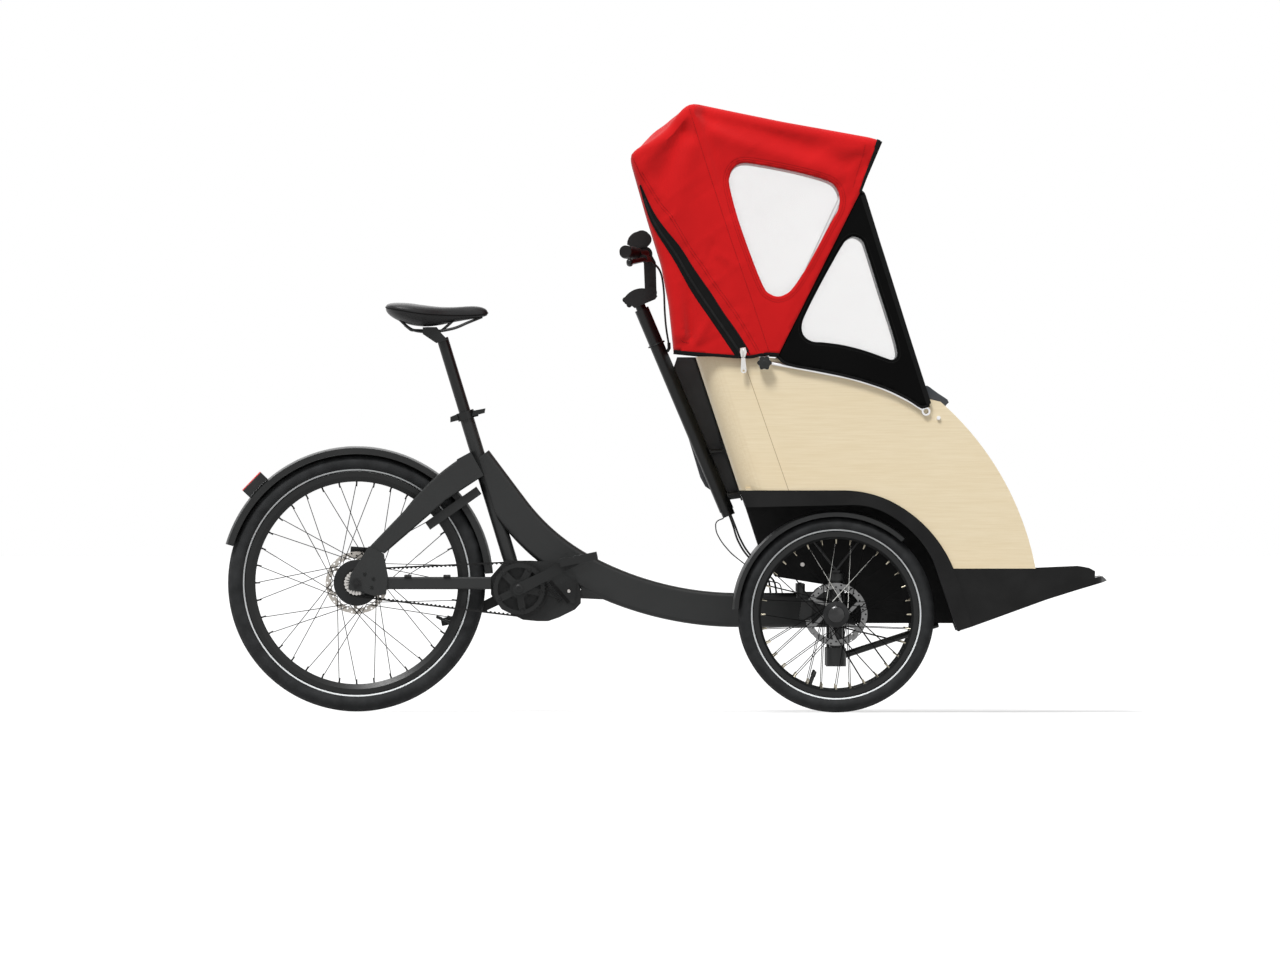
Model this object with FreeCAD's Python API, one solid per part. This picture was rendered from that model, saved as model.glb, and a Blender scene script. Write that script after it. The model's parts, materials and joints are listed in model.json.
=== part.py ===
# Front-loading passenger tricycle: a plywood cabin with a canvas hood stands between two
# steered front wheels, and the rider sits behind it over one driven rear wheel.
#
# Millimetres. +X is forward, +Y is the vehicle's left, +Z is up. The origin lies on the
# ground under the middle of the vehicle's length and width.
import FreeCAD
import Part
import math
import os

V = FreeCAD.Vector
AXIS_Y = V(0, 1, 0)
SIDES = (("right", -1), ("left", 1))     # name of a side and the sign of its Y

SEAT_GAP = 0.2          # between a piece and the curved seat that holds it
RUNNING_GAP = 0.06      # radial play of a shaft in its bore

# ---- wheels ------------------------------------------------------------------------------
REAR_AXLE = (-791.0, 329.5)
REAR_TYRE_R = 329.5
REAR_TYRE_W = 50.0
REAR_TYRE_H = 44.5         # from the rim's edge out to the tread
REAR_RIM_R = REAR_TYRE_R - REAR_TYRE_H
REAR_RIM_DEPTH = 26.0
REAR_RIM_INNER_R = REAR_RIM_R - REAR_RIM_DEPTH
REAR_SPOKES = 36
REAR_ROTOR_Y = 40.9
REAR_FLANGE_R = 59.0
REAR_FLANGE_Y = 28.0
REAR_ROTOR_SEAT_R = 15.0
REAR_SPOKE_SWEEP = 46.0          # degrees between a spoke's ends, seen along the axle

FRONT_AXLE = (434.0, 250.0)
FRONT_TYRE_R = 250.0
FRONT_TYRE_W = 47.0
FRONT_TYRE_H = 39.0
FRONT_RIM_R = FRONT_TYRE_R - FRONT_TYRE_H
FRONT_RIM_DEPTH = 19.0
FRONT_RIM_INNER_R = FRONT_RIM_R - FRONT_RIM_DEPTH
FRONT_SPOKES = 32
FRONT_FLANGE_R = 33.0
FRONT_FLANGE_Y = 24.0
FRONT_ROTOR_SEAT_R = 20.0
FRONT_ROTOR_INSET = 41.0         # from the wheel's middle plane to its rotor
FRONT_SPOKE_SWEEP = 50.0
HALF_TRACK = 390.0
RIM_WALL = 2.5
RIM_W = 30.0
TYRE_WALL = 4.0
SPOKE_R = 1.0

ROTOR_R = 80.0
ROTOR_T = 1.8
ROTOR_BAND = 15.0
ROTOR_ARM_W = 9.0
ROTOR_RING = 9.0
ROTOR_ARMS = 6
ROTOR_HOLES = 18           # drilled holes in each of the band's two rows
ROTOR_HOLE_R = 2.4
ROTOR_HOLE_ROWS = ((4.5, 0.0), (10.5, 0.5))     # depth in from the edge, and shift in hole steps
ROTOR_WAVES = 12           # shallow scallops round the band's outer edge
ROTOR_WAVE_R = 14.2
ROTOR_WAVE_OUT = 13.0      # from the rotor's edge out to a scallop's centre
ROTOR_CLEAR = 6.0          # from the rotor's edge to the fixed pieces over and under it
CALIPER_GAP = 5.2          # free space on each side of the rotor inside a caliper

# ---- steered knuckles --------------------------------------------------------------------
KINGPIN_Y = 325.0
KINGPIN_R = 13.0
KNUCKLE_R = 17.5
STUB_R = 10.0
CUP_R = 26.0
STRUT_R = 7.0
CUP_HEIGHT = 47.0
YOKE_ARM_T = 18.0
CUP_TOP = FRONT_AXLE[1] - ROTOR_R - ROTOR_CLEAR
CUP_Z = (CUP_TOP - CUP_HEIGHT, CUP_TOP)
YOKE_FOOT = FRONT_AXLE[1] + ROTOR_R + ROTOR_CLEAR
YOKE_TOP_Z = (YOKE_FOOT, YOKE_FOOT + YOKE_ARM_T)
STEER_ARM_LENGTH = 90.0
STEER_ARM_Z = 318.0
TIE_ROD_R = 7.0
MUDGUARD_T = 2.5
FRONT_GUARD_R = 265.0
FRONT_GUARD_W = 62.0
GUARD_STAY_R = 3.5
FRONT_GUARD_SKIRT = 15.0                    # depth of the turned-down edges
FRONT_GUARD_ANGLES = (48.0, 177.0)       # degrees from +X, counted over the top
REAR_GUARD_R = 350.0
REAR_GUARD_W = 62.0
REAR_GUARD_SKIRT = 20.0
REAR_GUARD_ANGLES = (4.0, 163.5)

# ---- frame -------------------------------------------------------------------------------
BEAM_W = 56.0
BEAM_H = 88.0
BEAM_Z = 260.0
BEAM_FRONT_X = 486.0
BEAM_LEVEL_X = 187.0
BEAM_BENDS = ((843.0, 28.3), (550.0, 24.8))   # radius, degrees turned upwards
BEAM_TOP_LENGTH = 160.0
BEAM_EDGE_R = 12.0
SEAT_LEAN = 17.0                              # degrees that the seat tube leans backwards
SEAT_TUBE_FOOT = (-398.0, 387.0)
SEAT_POST_R = 15.0
SEAT_TUBE_WALL = 3.0
SEAT_TUBE_R = SEAT_POST_R + SEAT_TUBE_WALL
SEAT_TUBE_TOP_Z = 762.0
SEAT_TUBE_SINK = 14.0                           # how far the tube's foot stands in the motor housing
SEAT_POST_TOP_Z = 955.0
SEAT_POST_DEPTH = 160.0                       # how far the post goes down into the tube
STAY_Y = (47.0, 65.0)                         # inner and outer face of each rear stay
DROPOUT_Y = (68.0, 74.0)
CHAIN_STAY_Z = (313.0, 345.0)
CHAIN_STAY_X = (-751.0, -447.5)
REAR_AXLE_R = 6.0
AXLE_NUT_T = 9.0
HUB_END_GAP = 5.2                              # from the hub's ends to the dropouts
AXLE_END = 18.0                               # how far the rear axle stands out of its dropouts

# ---- drive -------------------------------------------------------------------------------
CRANK_AXIS = (-375.0, 314.0)
CRANK_LENGTH = 170.0
CRANK_ANGLE = 26.5
CRANK_Y = (76.0, 90.0)
SPINDLE_R = 12.0
BELT_Y = (50.5, 61.5)
BELT_T = 4.0
BELT_GAP = 0.5           # between the belt and the tooth tips
LOCK_ANGLE = 34.9        # slope of the ring lock, in degrees
RING_R = 67.0
SPROCKET_R = 32.0
MOTOR_Y = (-40.0, 40.0)
PEDAL_LENGTH = 98.0
PEDAL_WIDTH = 92.0
PEDAL_T = 20.0
PEDAL_TILT = 12.0

# ---- steering column and bar ---------------------------------------------------------------
COLUMN_TOP = (-62.0, 1030.0)
COLUMN_FOOT = (156.0, 515.0)
COLUMN_R = 18.5
COLUMN_BORE_R = 15.0
BEARING_RISE = 16.0      # height of each bearing ring in the column
STEERER_R = 13.0
STEM_PIVOT = (-38.5, 1072.0)
BAR_CENTRE = (-53.0, 1171.0)
BAR_HALF = 270.0
BAR_R = 11.0
GRIP_R = 15.5
GRIP_LENGTH = 120.0
GRIP_END = (-103.0, 1176.0)

# ---- hoses and cables ------------------------------------------------------------------------
HOSE_R = 2.5
LOOP_R = 1.5               # the thin cable behind the column's foot


def held_cable(points, radius, name):
    """A cable of round section whose bends are as wide as its runs allow."""
    made = bent_tube(points, radius)
    path = tangent_path(points)
    bends = [edge.Curve.Radius for edge in path.Edges if hasattr(edge.Curve, "Radius")]
    print("%-22s length %7.1f  tightest bend %5.1f  volume %9.1f of %9.1f" % (
        name, path.Length, min(bends), made.Volume, math.pi * radius ** 2 * path.Length))
    return made


def bar_hoses():
    """Brake hoses from the levers' inner ends, past the riser and down in front of the column."""
    made = []
    for side, sign in SIDES:
        end, start = V(*bar_point(sign, 1)), V(*bar_point(sign, 0))
        inward = (start - end).normalize()
        root = end + inward * (GRIP_LENGTH + 4 - 22 + 52) + V(26, 0, -14)
        leave = root + inward * 34
        points = [tuple(root), tuple(leave), (-12.0, sign * 34.0, 1128.0), (-4.5, sign * 12.0, 1078.0),
                  (-3.0, sign * 8.0, 1026.0), (0.5, sign * 6.0, 982.0), (8.0, sign * 6.0, 938.0)]
        made.append(held_cable(points, HOSE_R, "bar hose " + side))
    return Part.makeCompound(made)


def column_cables():
    """Cables from the column's foot to the top of the main beam: one thin loop that swings
    backwards, and two that hang side by side in front of it."""
    x, _, z = column_point(COLUMN_FOOT[1] - 14)
    rear = (x - 16.5 * 0.921 + 1, -4.0, z - 16.5 * 0.390)
    loop = [rear, (rear[0] - 20.5, -4.0, rear[2] - 8), (128.0, -6.0, 461.0), (143.0, -8.0, 433.0), (169.0, -10.0, 403.0),
            (196.0, -12.0, 382.0), (232.0, -14.0, 354.0), (268.0, -15.0, 332.0), (292.0, -15.0, 330.0),
            (298.0, -15.0, 304.0)]
    near = [(x + 4.6, -7.0, z + 1.95), (178.0, -7.0, 474.0), (188.0, -8.0, 446.0), (205.0, -12.0, 414.0),
            (229.0, -18.0, 386.0), (256.0, -20.0, 354.0), (278.0, -20.0, 336.0), (283.0, -20.0, 304.0)]
    far = [(x + 0.92, 7.0, z + 0.39), (173.0, 8.0, 474.0), (181.0, 9.0, 444.0), (199.0, 10.0, 410.0),
           (224.0, 12.0, 382.0), (248.0, 14.0, 350.0), (264.0, 15.0, 336.0), (268.0, 15.0, 304.0)]
    made = [held_cable(points, radius, "column cable %d" % index)
            for index, (points, radius) in enumerate(((loop, LOOP_R), (near, HOSE_R), (far, HOSE_R)))]
    return Part.makeCompound([one.cut(steering_column()) for one in made])


# ---- cabin -------------------------------------------------------------------------------
CABIN_HALF = 430.0
PLY_T = 12.0
TUB_T = 5.0
WELL_Y = 222.0           # outer face of the wheel well's inner wall
WALL_TOP = (76.0, 907.0)
WALL_FOOT = (188.0, 566.0)
CORNER_REACH = 130.0     # how far the bent rear panel runs forwards along each side
CORNER_R = 70.0
TRIM_PROUD = 4.0         # how far the arch band stands out of the plywood
TRIM_T = TRIM_PROUD + PLY_T
SCOOP_T = 5.0
FLOOR_Z = 237.0
FLOOR_T = 12.0
RAIL_H = 10.0
BOARD_X = 498.0          # rear face of the board under the bench
BENCH_Z = 572.0
BENCH_T = 12.0
CUSHION_T = 60.0

# ---- hood --------------------------------------------------------------------------------
HOOD_BASE_Z = 908.0
HOOD_TOP_Z = 1552.0
HOOD_PROUD = 16.0        # from the side panel's outer face to the canvas at its hem
HOOD_LEAN_IN = 40.0      # how far the canvas leans inwards on its way to the roof
HOOD_HALF_BASE = CABIN_HALF + HOOD_PROUD
HOOD_HALF_TOP = HOOD_HALF_BASE - HOOD_LEAN_IN
HOOD_SPAN = HOOD_HALF_BASE + 60.0     # half length of the blocks that the hood is cut from
CLOTH_T = 2.0
FILM_T = 1.0
BOW_R = 6.0
HOOD_PIVOT = (251.0, 891.0)
RAIL_R = 4.5
RAIL_END = (663.0, 767.5)


# ---- shape helpers -----------------------------------------------------------------------
def outline(points, y=0.0):
    """Closed wire in a plane of constant Y. A point of four numbers is an arc: mid X, mid Z,
    end X, end Z; a point of two numbers is the end of a straight edge."""
    start = V(points[0][0], y, points[0][1])
    here = start
    edges = []
    for point in points[1:]:
        end = V(point[-2], y, point[-1])
        if len(point) == 4:
            edges.append(Part.Arc(here, V(point[0], y, point[1]), end).toShape())
        else:
            edges.append(Part.LineSegment(here, end).toShape())
        here = end
    if here.distanceToPoint(start) > 1e-6:
        edges.append(Part.LineSegment(here, start).toShape())
    return Part.Wire(edges)


def outward(shape):
    """The same solid with its faces turned outwards, whichever way its outline ran."""
    return shape if shape.Volume > 0 else shape.reversed()


def slab(points, y0, y1):
    """Side-view outline thickened from y0 to y1."""
    low, high = min(y0, y1), max(y0, y1)
    return outward(Part.Face(outline(points, low)).extrude(V(0, high - low, 0)))


def box(x0, x1, y0, y1, z0, z1):
    corner = V(min(x0, x1), min(y0, y1), min(z0, z1))
    return Part.makeBox(abs(x1 - x0), abs(y1 - y0), abs(z1 - z0), corner)


def rod(a, b, radius):
    a, b = V(*a), V(*b)
    return Part.makeCylinder(radius, a.distanceToPoint(b), a, b - a)


def tube(a, b, radius, bore):
    return rod(a, b, radius).cut(rod(a, b, bore))


def axle_turned(centre, profile):
    """Closed (radius, y) profile revolved about the cross axis through centre."""
    x, z = centre
    points = [V(x, y, z + r) for r, y in profile]
    face = Part.Face(Part.makePolygon(points + [points[0]]))
    return outward(face.revolve(V(x, 0, z), AXIS_Y, 360))


def mirrored(shape):
    """Copy of a shape on the other side of the vehicle's middle plane."""
    return shape.mirror(V(0, 0, 0), AXIS_Y)


def fuse(shapes):
    first, rest = shapes[0], shapes[1:]
    return first.fuse(rest).removeSplitter() if rest else first


def polar(centre, radius, degrees):
    angle = math.radians(degrees)
    return centre[0] + radius * math.cos(angle), centre[1] + radius * math.sin(angle)


def along(a, b, distance):
    """Side-view point at a distance from a towards b."""
    length = math.hypot(b[0] - a[0], b[1] - a[1])
    return a[0] + (b[0] - a[0]) * distance / length, a[1] + (b[1] - a[1]) * distance / length


def beside(point, a, b, offset):
    """Side-view point moved square to the line a-b, to its left as seen along a-b."""
    length = math.hypot(b[0] - a[0], b[1] - a[1])
    return (point[0] - (b[1] - a[1]) * offset / length,
            point[1] + (b[0] - a[0]) * offset / length)


def strip(a, b, near, far):
    """Four-sided outline along the side-view line a-b, from offset near to offset far."""
    return [beside(a, a, b, near), beside(b, a, b, near),
            beside(b, a, b, far), beside(a, a, b, far)]


# ---- wheels ------------------------------------------------------------------------------
def tyre(centre, y, outer_r, width, rim_r):
    """Casing with a round crown and two beads, open towards the rim."""
    x, z = centre
    half = width / 2
    bead_out = RIM_W / 2 - RIM_WALL - SEAT_GAP
    bead_in = bead_out - TYRE_WALL
    foot = rim_r - 10 + SEAT_GAP
    widest = (rim_r + outer_r) / 2

    def at(r, dy):
        return V(x, y + dy, z + r)

    shoulder_r, shoulder_y = outer_r - 6, half * 0.66
    inner_half = half - TYRE_WALL
    inner_shoulder_r, inner_shoulder_y = shoulder_r - TYRE_WALL, shoulder_y - TYRE_WALL / 2
    edges = [
        Part.Arc(at(rim_r + 1, -bead_out), at(widest, -half), at(shoulder_r, -shoulder_y)),
        Part.Arc(at(shoulder_r, -shoulder_y), at(outer_r, 0), at(shoulder_r, shoulder_y)),
        Part.Arc(at(shoulder_r, shoulder_y), at(widest, half), at(rim_r + 1, bead_out)),
        Part.LineSegment(at(rim_r + 1, bead_out), at(foot, bead_out)),
        Part.LineSegment(at(foot, bead_out), at(foot, bead_in)),
        Part.LineSegment(at(foot, bead_in), at(rim_r, bead_in)),
        Part.Arc(at(rim_r, bead_in), at(widest, inner_half), at(inner_shoulder_r, inner_shoulder_y)),
        Part.Arc(at(inner_shoulder_r, inner_shoulder_y), at(outer_r - TYRE_WALL, 0),
                 at(inner_shoulder_r, -inner_shoulder_y)),
        Part.Arc(at(inner_shoulder_r, -inner_shoulder_y), at(widest, -inner_half), at(rim_r, -bead_in)),
        Part.LineSegment(at(rim_r, -bead_in), at(foot, -bead_in)),
        Part.LineSegment(at(foot, -bead_in), at(foot, -bead_out)),
        Part.LineSegment(at(foot, -bead_out), at(rim_r + 1, -bead_out)),
    ]
    section = Part.Face(Part.Wire([edge.toShape() for edge in edges]))
    return outward(section.revolve(V(x, y, z), AXIS_Y, 360))


def rim(centre, y, rim_r, inner_r):
    """Hooked channel for the tyre over a tapered spoke bed."""
    half = RIM_W / 2
    profile = [(rim_r, -half), (rim_r, RIM_WALL - half), (rim_r - 10, RIM_WALL - half),
               (rim_r - 10, half - RIM_WALL), (rim_r, half - RIM_WALL), (rim_r, half),
               (rim_r - 13, half), (inner_r, 8), (inner_r, -8), (rim_r - 13, -half)]
    return axle_turned(centre, [(r, y + dy) for r, dy in profile])


def spokes(centre, y, count, hub_r, flange_y, rim_inner_r, sweep):
    """Tangential spokes, half of them pulling each way on each flange. The two halves lie on
    either face of the flange, so that they pass without touching."""
    made = []
    step = 360.0 / count
    start_r = hub_r + SPOKE_R + SEAT_GAP
    for index in range(count):
        side = -1 if index % 2 else 1
        pull = -1 if (index // 2) % 2 else 1
        rim_angle = index * step
        hub_angle = rim_angle + pull * sweep
        face_offset = (2.0 if pull > 0 else -2.0) * side
        hub_x, hub_z = polar(centre, start_r, hub_angle)
        rim_x, rim_z = polar(centre, rim_inner_r - SEAT_GAP, rim_angle)
        inner = V(hub_x, y + side * flange_y + face_offset, hub_z)
        outer = V(rim_x, y + side * 4.0 + face_offset, rim_z)
        direction = outer - inner
        across = direction.cross(AXIS_Y).normalize()
        other = direction.cross(across).normalize()
        corners = []
        for corner in range(6):
            turn = math.radians(60 * corner)
            corners.append(inner + across * (SPOKE_R * math.cos(turn)) + other * (SPOKE_R * math.sin(turn)))
        made.append(Part.Face(Part.makePolygon(corners + [corners[0]])).extrude(direction))
    return Part.makeCompound(made)


def rotor(centre, y, seat_r):
    """Brake rotor: a band carried on slanted arms from the ring that seats on the hub."""
    x, z = centre
    face_y = y - ROTOR_T / 2
    ring_r = seat_r + ROTOR_RING
    band = tube((x, face_y, z), (x, face_y + ROTOR_T, z), ROTOR_R, ROTOR_R - ROTOR_BAND)
    ring = tube((x, face_y, z), (x, face_y + ROTOR_T, z), ring_r, seat_r + SEAT_GAP)
    arms = []
    for index in range(ROTOR_ARMS):
        angle = index * 360.0 / ROTOR_ARMS
        foot = polar(centre, ring_r - 2, angle)
        head = polar(centre, ROTOR_R - ROTOR_BAND + 2, angle + 28)
        arms.append(slab(strip(foot, head, -ROTOR_ARM_W / 2, ROTOR_ARM_W / 2), face_y, face_y + ROTOR_T))
    cuts = []
    for index in range(ROTOR_HOLES):
        for row, shift in ROTOR_HOLE_ROWS:
            hole = polar(centre, ROTOR_R - row, (index + shift) * 360.0 / ROTOR_HOLES)
            cuts.append(rod((hole[0], face_y - 1, hole[1]), (hole[0], face_y + ROTOR_T + 1, hole[1]), ROTOR_HOLE_R))
    for index in range(ROTOR_WAVES):
        wave = polar(centre, ROTOR_R + ROTOR_WAVE_OUT, (index + 0.5) * 360.0 / ROTOR_WAVES)
        cuts.append(rod((wave[0], face_y - 1, wave[1]), (wave[0], face_y + ROTOR_T + 1, wave[1]), ROTOR_WAVE_R))
    return fuse([band, ring] + arms).cut(cuts)


def guard(centre, y, outer_r, width, skirt, angles):
    """Mudguard: a rolled strip with turned-down edges, along an arc over the wheel."""
    half = width / 2
    x, z = centre
    lip = outer_r - skirt

    def at(r, dy):
        return V(x + r, y + dy, z)

    inner = outer_r - MUDGUARD_T
    edges = [
        Part.LineSegment(at(lip, -half), at(outer_r - 5, -half)).toShape(),
        Part.Arc(at(outer_r - 5, -half), at(outer_r, 0), at(outer_r - 5, half)).toShape(),
        Part.LineSegment(at(outer_r - 5, half), at(lip, half)).toShape(),
        Part.LineSegment(at(lip, half), at(lip, half - MUDGUARD_T)).toShape(),
        Part.LineSegment(at(lip, half - MUDGUARD_T), at(inner - 5, half - MUDGUARD_T)).toShape(),
        Part.Arc(at(inner - 5, half - MUDGUARD_T), at(inner, 0), at(inner - 5, MUDGUARD_T - half)).toShape(),
        Part.LineSegment(at(inner - 5, MUDGUARD_T - half), at(lip, MUDGUARD_T - half)).toShape(),
        Part.LineSegment(at(lip, MUDGUARD_T - half), at(lip, -half)).toShape(),
    ]
    section = Part.Face(Part.Wire(edges))
    section.rotate(V(x, y, z), AXIS_Y, -angles[0])
    return outward(section.revolve(V(x, y, z), AXIS_Y, -(angles[1] - angles[0])))


def rear_hub():
    flange = REAR_FLANGE_Y
    rotor_y = REAR_ROTOR_Y - ROTOR_T / 2 - SEAT_GAP
    end = DROPOUT_Y[0] - HUB_END_GAP
    profile = [(REAR_AXLE_R + RUNNING_GAP, -end), (11, -end), (11, -61.7), (17, -61.7), (17, -36), (36, -34),
               (REAR_FLANGE_R, -flange - 1.8), (REAR_FLANGE_R, 1.8 - flange),
               (REAR_FLANGE_R - 8, 1.8 - flange), (REAR_FLANGE_R - 8, flange - 1.8),
               (REAR_FLANGE_R, flange - 1.8), (REAR_FLANGE_R, flange + 1.8),
               (30, 36), (22, 37), (22, rotor_y), (15, rotor_y), (15, end),
               (REAR_AXLE_R + RUNNING_GAP, end)]
    return axle_turned(REAR_AXLE, profile)


def front_hub(sign):
    y = sign * HALF_TRACK
    flange = FRONT_FLANGE_Y
    bore = STUB_R + RUNNING_GAP
    profile = [(bore, -44), (20, -44), (20, -flange - 5), (FRONT_FLANGE_R, -flange - 1.6),
               (FRONT_FLANGE_R, 1.6 - flange), (17, 6 - flange), (17, flange - 6),
               (FRONT_FLANGE_R, flange - 1.6), (FRONT_FLANGE_R, flange + 1.6),
               (22, flange + 5), (22, 40), (18, 45), (0, 45), (0, 40), (bore, 40)]
    return axle_turned(FRONT_AXLE, [(r, y + sign * dy) for r, dy in profile])


def sprocket():
    teeth = 22
    x, z = REAR_AXLE
    blank = tube((x, -BELT_Y[1] - 1, z), (x, -BELT_Y[0] + 1, z), SPROCKET_R, 17 + SEAT_GAP)
    gaps = []
    for index in range(teeth):
        gap_x, gap_z = polar(REAR_AXLE, SPROCKET_R + 1.4, index * 360.0 / teeth)
        gaps.append(rod((gap_x, -BELT_Y[1] - 2, gap_z), (gap_x, 2 - BELT_Y[0], gap_z), 3.2))
    return blank.cut(gaps)


# ---- drive -------------------------------------------------------------------------------
def belt_loop(inner_offset, outer_offset):
    """Band between two offsets from the tooth tips, round the chainring and the sprocket."""
    def loop(offset):
        x0, z0 = REAR_AXLE
        x1, z1 = CRANK_AXIS
        r0, r1 = SPROCKET_R + offset, RING_R + offset
        base = math.degrees(math.atan2(z1 - z0, x1 - x0))
        lean = math.degrees(math.acos((r0 - r1) / math.hypot(x1 - x0, z1 - z0)))
        top, low = base + lean, base - lean
        rear_mid = polar(REAR_AXLE, r0, base + 180)
        front_mid = polar(CRANK_AXIS, r1, base)
        return [polar(REAR_AXLE, r0, top), polar(CRANK_AXIS, r1, top),
                front_mid + polar(CRANK_AXIS, r1, low), polar(REAR_AXLE, r0, low),
                rear_mid + polar(REAR_AXLE, r0, top)]
    outer = slab(loop(outer_offset), -BELT_Y[1], -BELT_Y[0])
    return outer.cut(slab(loop(inner_offset), -BELT_Y[1] - 1, 1 - BELT_Y[0]))


def chainring():
    teeth = 46
    x, z = CRANK_AXIS
    y0, y1 = -BELT_Y[1] - 1, 1 - BELT_Y[0]
    band = tube((x, y0, z), (x, y1, z), RING_R, RING_R - 12)
    core = tube((x, y0 + 2, z), (x, y1 - 2, z), 24, SPINDLE_R + SEAT_GAP)
    arms = []
    for index in range(5):
        foot = polar(CRANK_AXIS, 20, CRANK_ANGLE + 36 + 72 * index)
        head = polar(CRANK_AXIS, RING_R - 9, CRANK_ANGLE + 36 + 72 * index)
        arms.append(slab(strip(foot, head, -9, 9), y0 + 3, y1 - 3))
    gaps = []
    for index in range(teeth):
        gap_x, gap_z = polar(CRANK_AXIS, RING_R + 1.2, index * 360.0 / teeth)
        gaps.append(rod((gap_x, y0 - 1, gap_z), (gap_x, y1 + 1, gap_z), 3.0))
    return fuse([band.cut(gaps), core] + arms)


def crank_arm(sign):
    """Tapered arm from the spindle to the pedal axle, on one side."""
    direction = CRANK_ANGLE if sign < 0 else CRANK_ANGLE + 180
    end = polar(CRANK_AXIS, CRANK_LENGTH, direction)
    inner, outer = sign * CRANK_Y[0], sign * CRANK_Y[1]
    body = slab([beside(CRANK_AXIS, CRANK_AXIS, end, -15), beside(end, CRANK_AXIS, end, -11),
                 polar(end, 12, direction) + beside(end, CRANK_AXIS, end, 11),
                 beside(CRANK_AXIS, CRANK_AXIS, end, 15),
                 polar(CRANK_AXIS, 17, direction + 180) + beside(CRANK_AXIS, CRANK_AXIS, end, -15)],
                inner, outer)
    x, z = end
    bore = rod((x, inner, z), (x, outer, z), 7.0 + RUNNING_GAP)
    return body.cut(bore)


def cranks():
    x, z = CRANK_AXIS
    spindle = rod((x, -CRANK_Y[0] - 6, z), (x, CRANK_Y[0] + 6, z), SPINDLE_R)
    arms = [crank_arm(sign) for _, sign in SIDES]
    return fuse([spindle] + arms)


def pedal(sign):
    """Platform cage on a spindle that turns in the crank's end."""
    direction = CRANK_ANGLE if sign < 0 else CRANK_ANGLE + 180
    x, z = polar(CRANK_AXIS, CRANK_LENGTH, direction)
    start = CRANK_Y[1] + 7
    spindle = rod((x, sign * CRANK_Y[0], z), (x, sign * (start + PEDAL_WIDTH - 4), z), 7.0)
    core = rod((x, sign * start, z), (x, sign * (start + PEDAL_WIDTH), z), 11)
    half = PEDAL_LENGTH / 2
    cage = box(x - half, x + half, sign * start, sign * (start + PEDAL_WIDTH), z - PEDAL_T / 2, z + PEDAL_T / 2)
    for window in (-1, 1):
        near, far = x + window * 14, x + window * (half - 9)
        cage = cage.cut(box(near, far, sign * (start + 10), sign * (start + PEDAL_WIDTH - 10),
                            z - PEDAL_T, z + PEDAL_T))
    made = fuse([cage, core, spindle])
    made.rotate(V(x, 0, z), AXIS_Y, -PEDAL_TILT)
    return made


# ---- frame -------------------------------------------------------------------------------
def beam_edge(offset):
    """Edge of the main beam at an offset above its middle line, from the front end backwards:
    a level run, two upward bends and a straight run."""
    heading = 180.0
    x, z = BEAM_LEVEL_X, BEAM_Z
    points = [(BEAM_FRONT_X, z + offset), (x, z + offset)]
    for radius, turn in BEAM_BENDS:
        centre_x = x + radius * math.sin(math.radians(heading))
        centre_z = z - radius * math.cos(math.radians(heading))
        ends = []
        for angle in (heading - turn / 2, heading - turn):
            ends += [centre_x - (radius - offset) * math.sin(math.radians(angle)),
                     centre_z + (radius - offset) * math.cos(math.radians(angle))]
        points.append(tuple(ends))
        heading -= turn
        x = centre_x - radius * math.sin(math.radians(heading))
        z = centre_z + radius * math.cos(math.radians(heading))
    run = math.radians(heading)
    last_x, last_z = points[-1][2:]
    points.append((last_x + BEAM_TOP_LENGTH * math.cos(run), last_z + BEAM_TOP_LENGTH * math.sin(run)))
    return points


def backwards(points):
    """The same outline points walked from the last to the first."""
    turned = [points[-1][-2:]]
    for index in range(len(points) - 1, 0, -1):
        here, before = points[index], points[index - 1]
        mid = here[:2] if len(here) == 4 else ()
        turned.append(tuple(mid) + tuple(before[-2:]))
    return turned


def long_edges(shape, direction, length_over):
    """Edges square to direction and longer than a limit, for rounding off."""
    found = []
    for edge in shape.Edges:
        first, last = edge.Vertexes[0].Point, edge.Vertexes[-1].Point
        if abs((last - first).dot(direction)) < 1e-6 and edge.Length > length_over:
            found.append(edge)
    return found


def seat_axis(z):
    """Side-view point of the seat tube's axis at a height."""
    return SEAT_TUBE_FOOT[0] - (z - SEAT_TUBE_FOOT[1]) * math.tan(math.radians(SEAT_LEAN)), z


def seat_axis_point(z):
    x, z = seat_axis(z)
    return x, 0, z


def whole_beam():
    top = beam_edge(BEAM_H / 2)
    low = backwards(beam_edge(-BEAM_H / 2))
    body = slab(top + low, -BEAM_W / 2, BEAM_W / 2)
    body = body.makeFillet(BEAM_EDGE_R, long_edges(body, AXIS_Y, 150))
    clear = rod(seat_axis_point(300), seat_axis_point(900), SEAT_TUBE_R + SEAT_GAP)
    behind = slab(strip(seat_axis(300), seat_axis(900), 0, 200), -60, 60)
    return body.cut([clear, behind])


def level_part():
    """Everything in front of the butt weld between the curved beam and its level front bar."""
    return box(BEAM_LEVEL_X, BEAM_FRONT_X + 1, -BEAM_W, BEAM_W, BEAM_Z - BEAM_H, BEAM_Z + BEAM_H)


def main_beam():
    return whole_beam().cut(level_part()).fuse(gusset())


def beam_front():
    return whole_beam().common(level_part())


def seat_tube():
    foot = seat_axis_point(SEAT_TUBE_FOOT[1] - SEAT_TUBE_SINK)
    top = seat_axis_point(SEAT_TUBE_TOP_Z)
    return tube(foot, top, SEAT_TUBE_R, SEAT_POST_R + SEAT_GAP)


def seat_post():
    """Post with the saddle's clamp and rails at its head, and the collar that grips the tube."""
    low = seat_axis_point(SEAT_TUBE_TOP_Z - SEAT_POST_DEPTH)
    post = rod(low, seat_axis_point(SEAT_POST_TOP_Z), SEAT_POST_R)
    return Part.makeCompound([fuse([post, saddle_clamp()]), seat_collar()])


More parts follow.
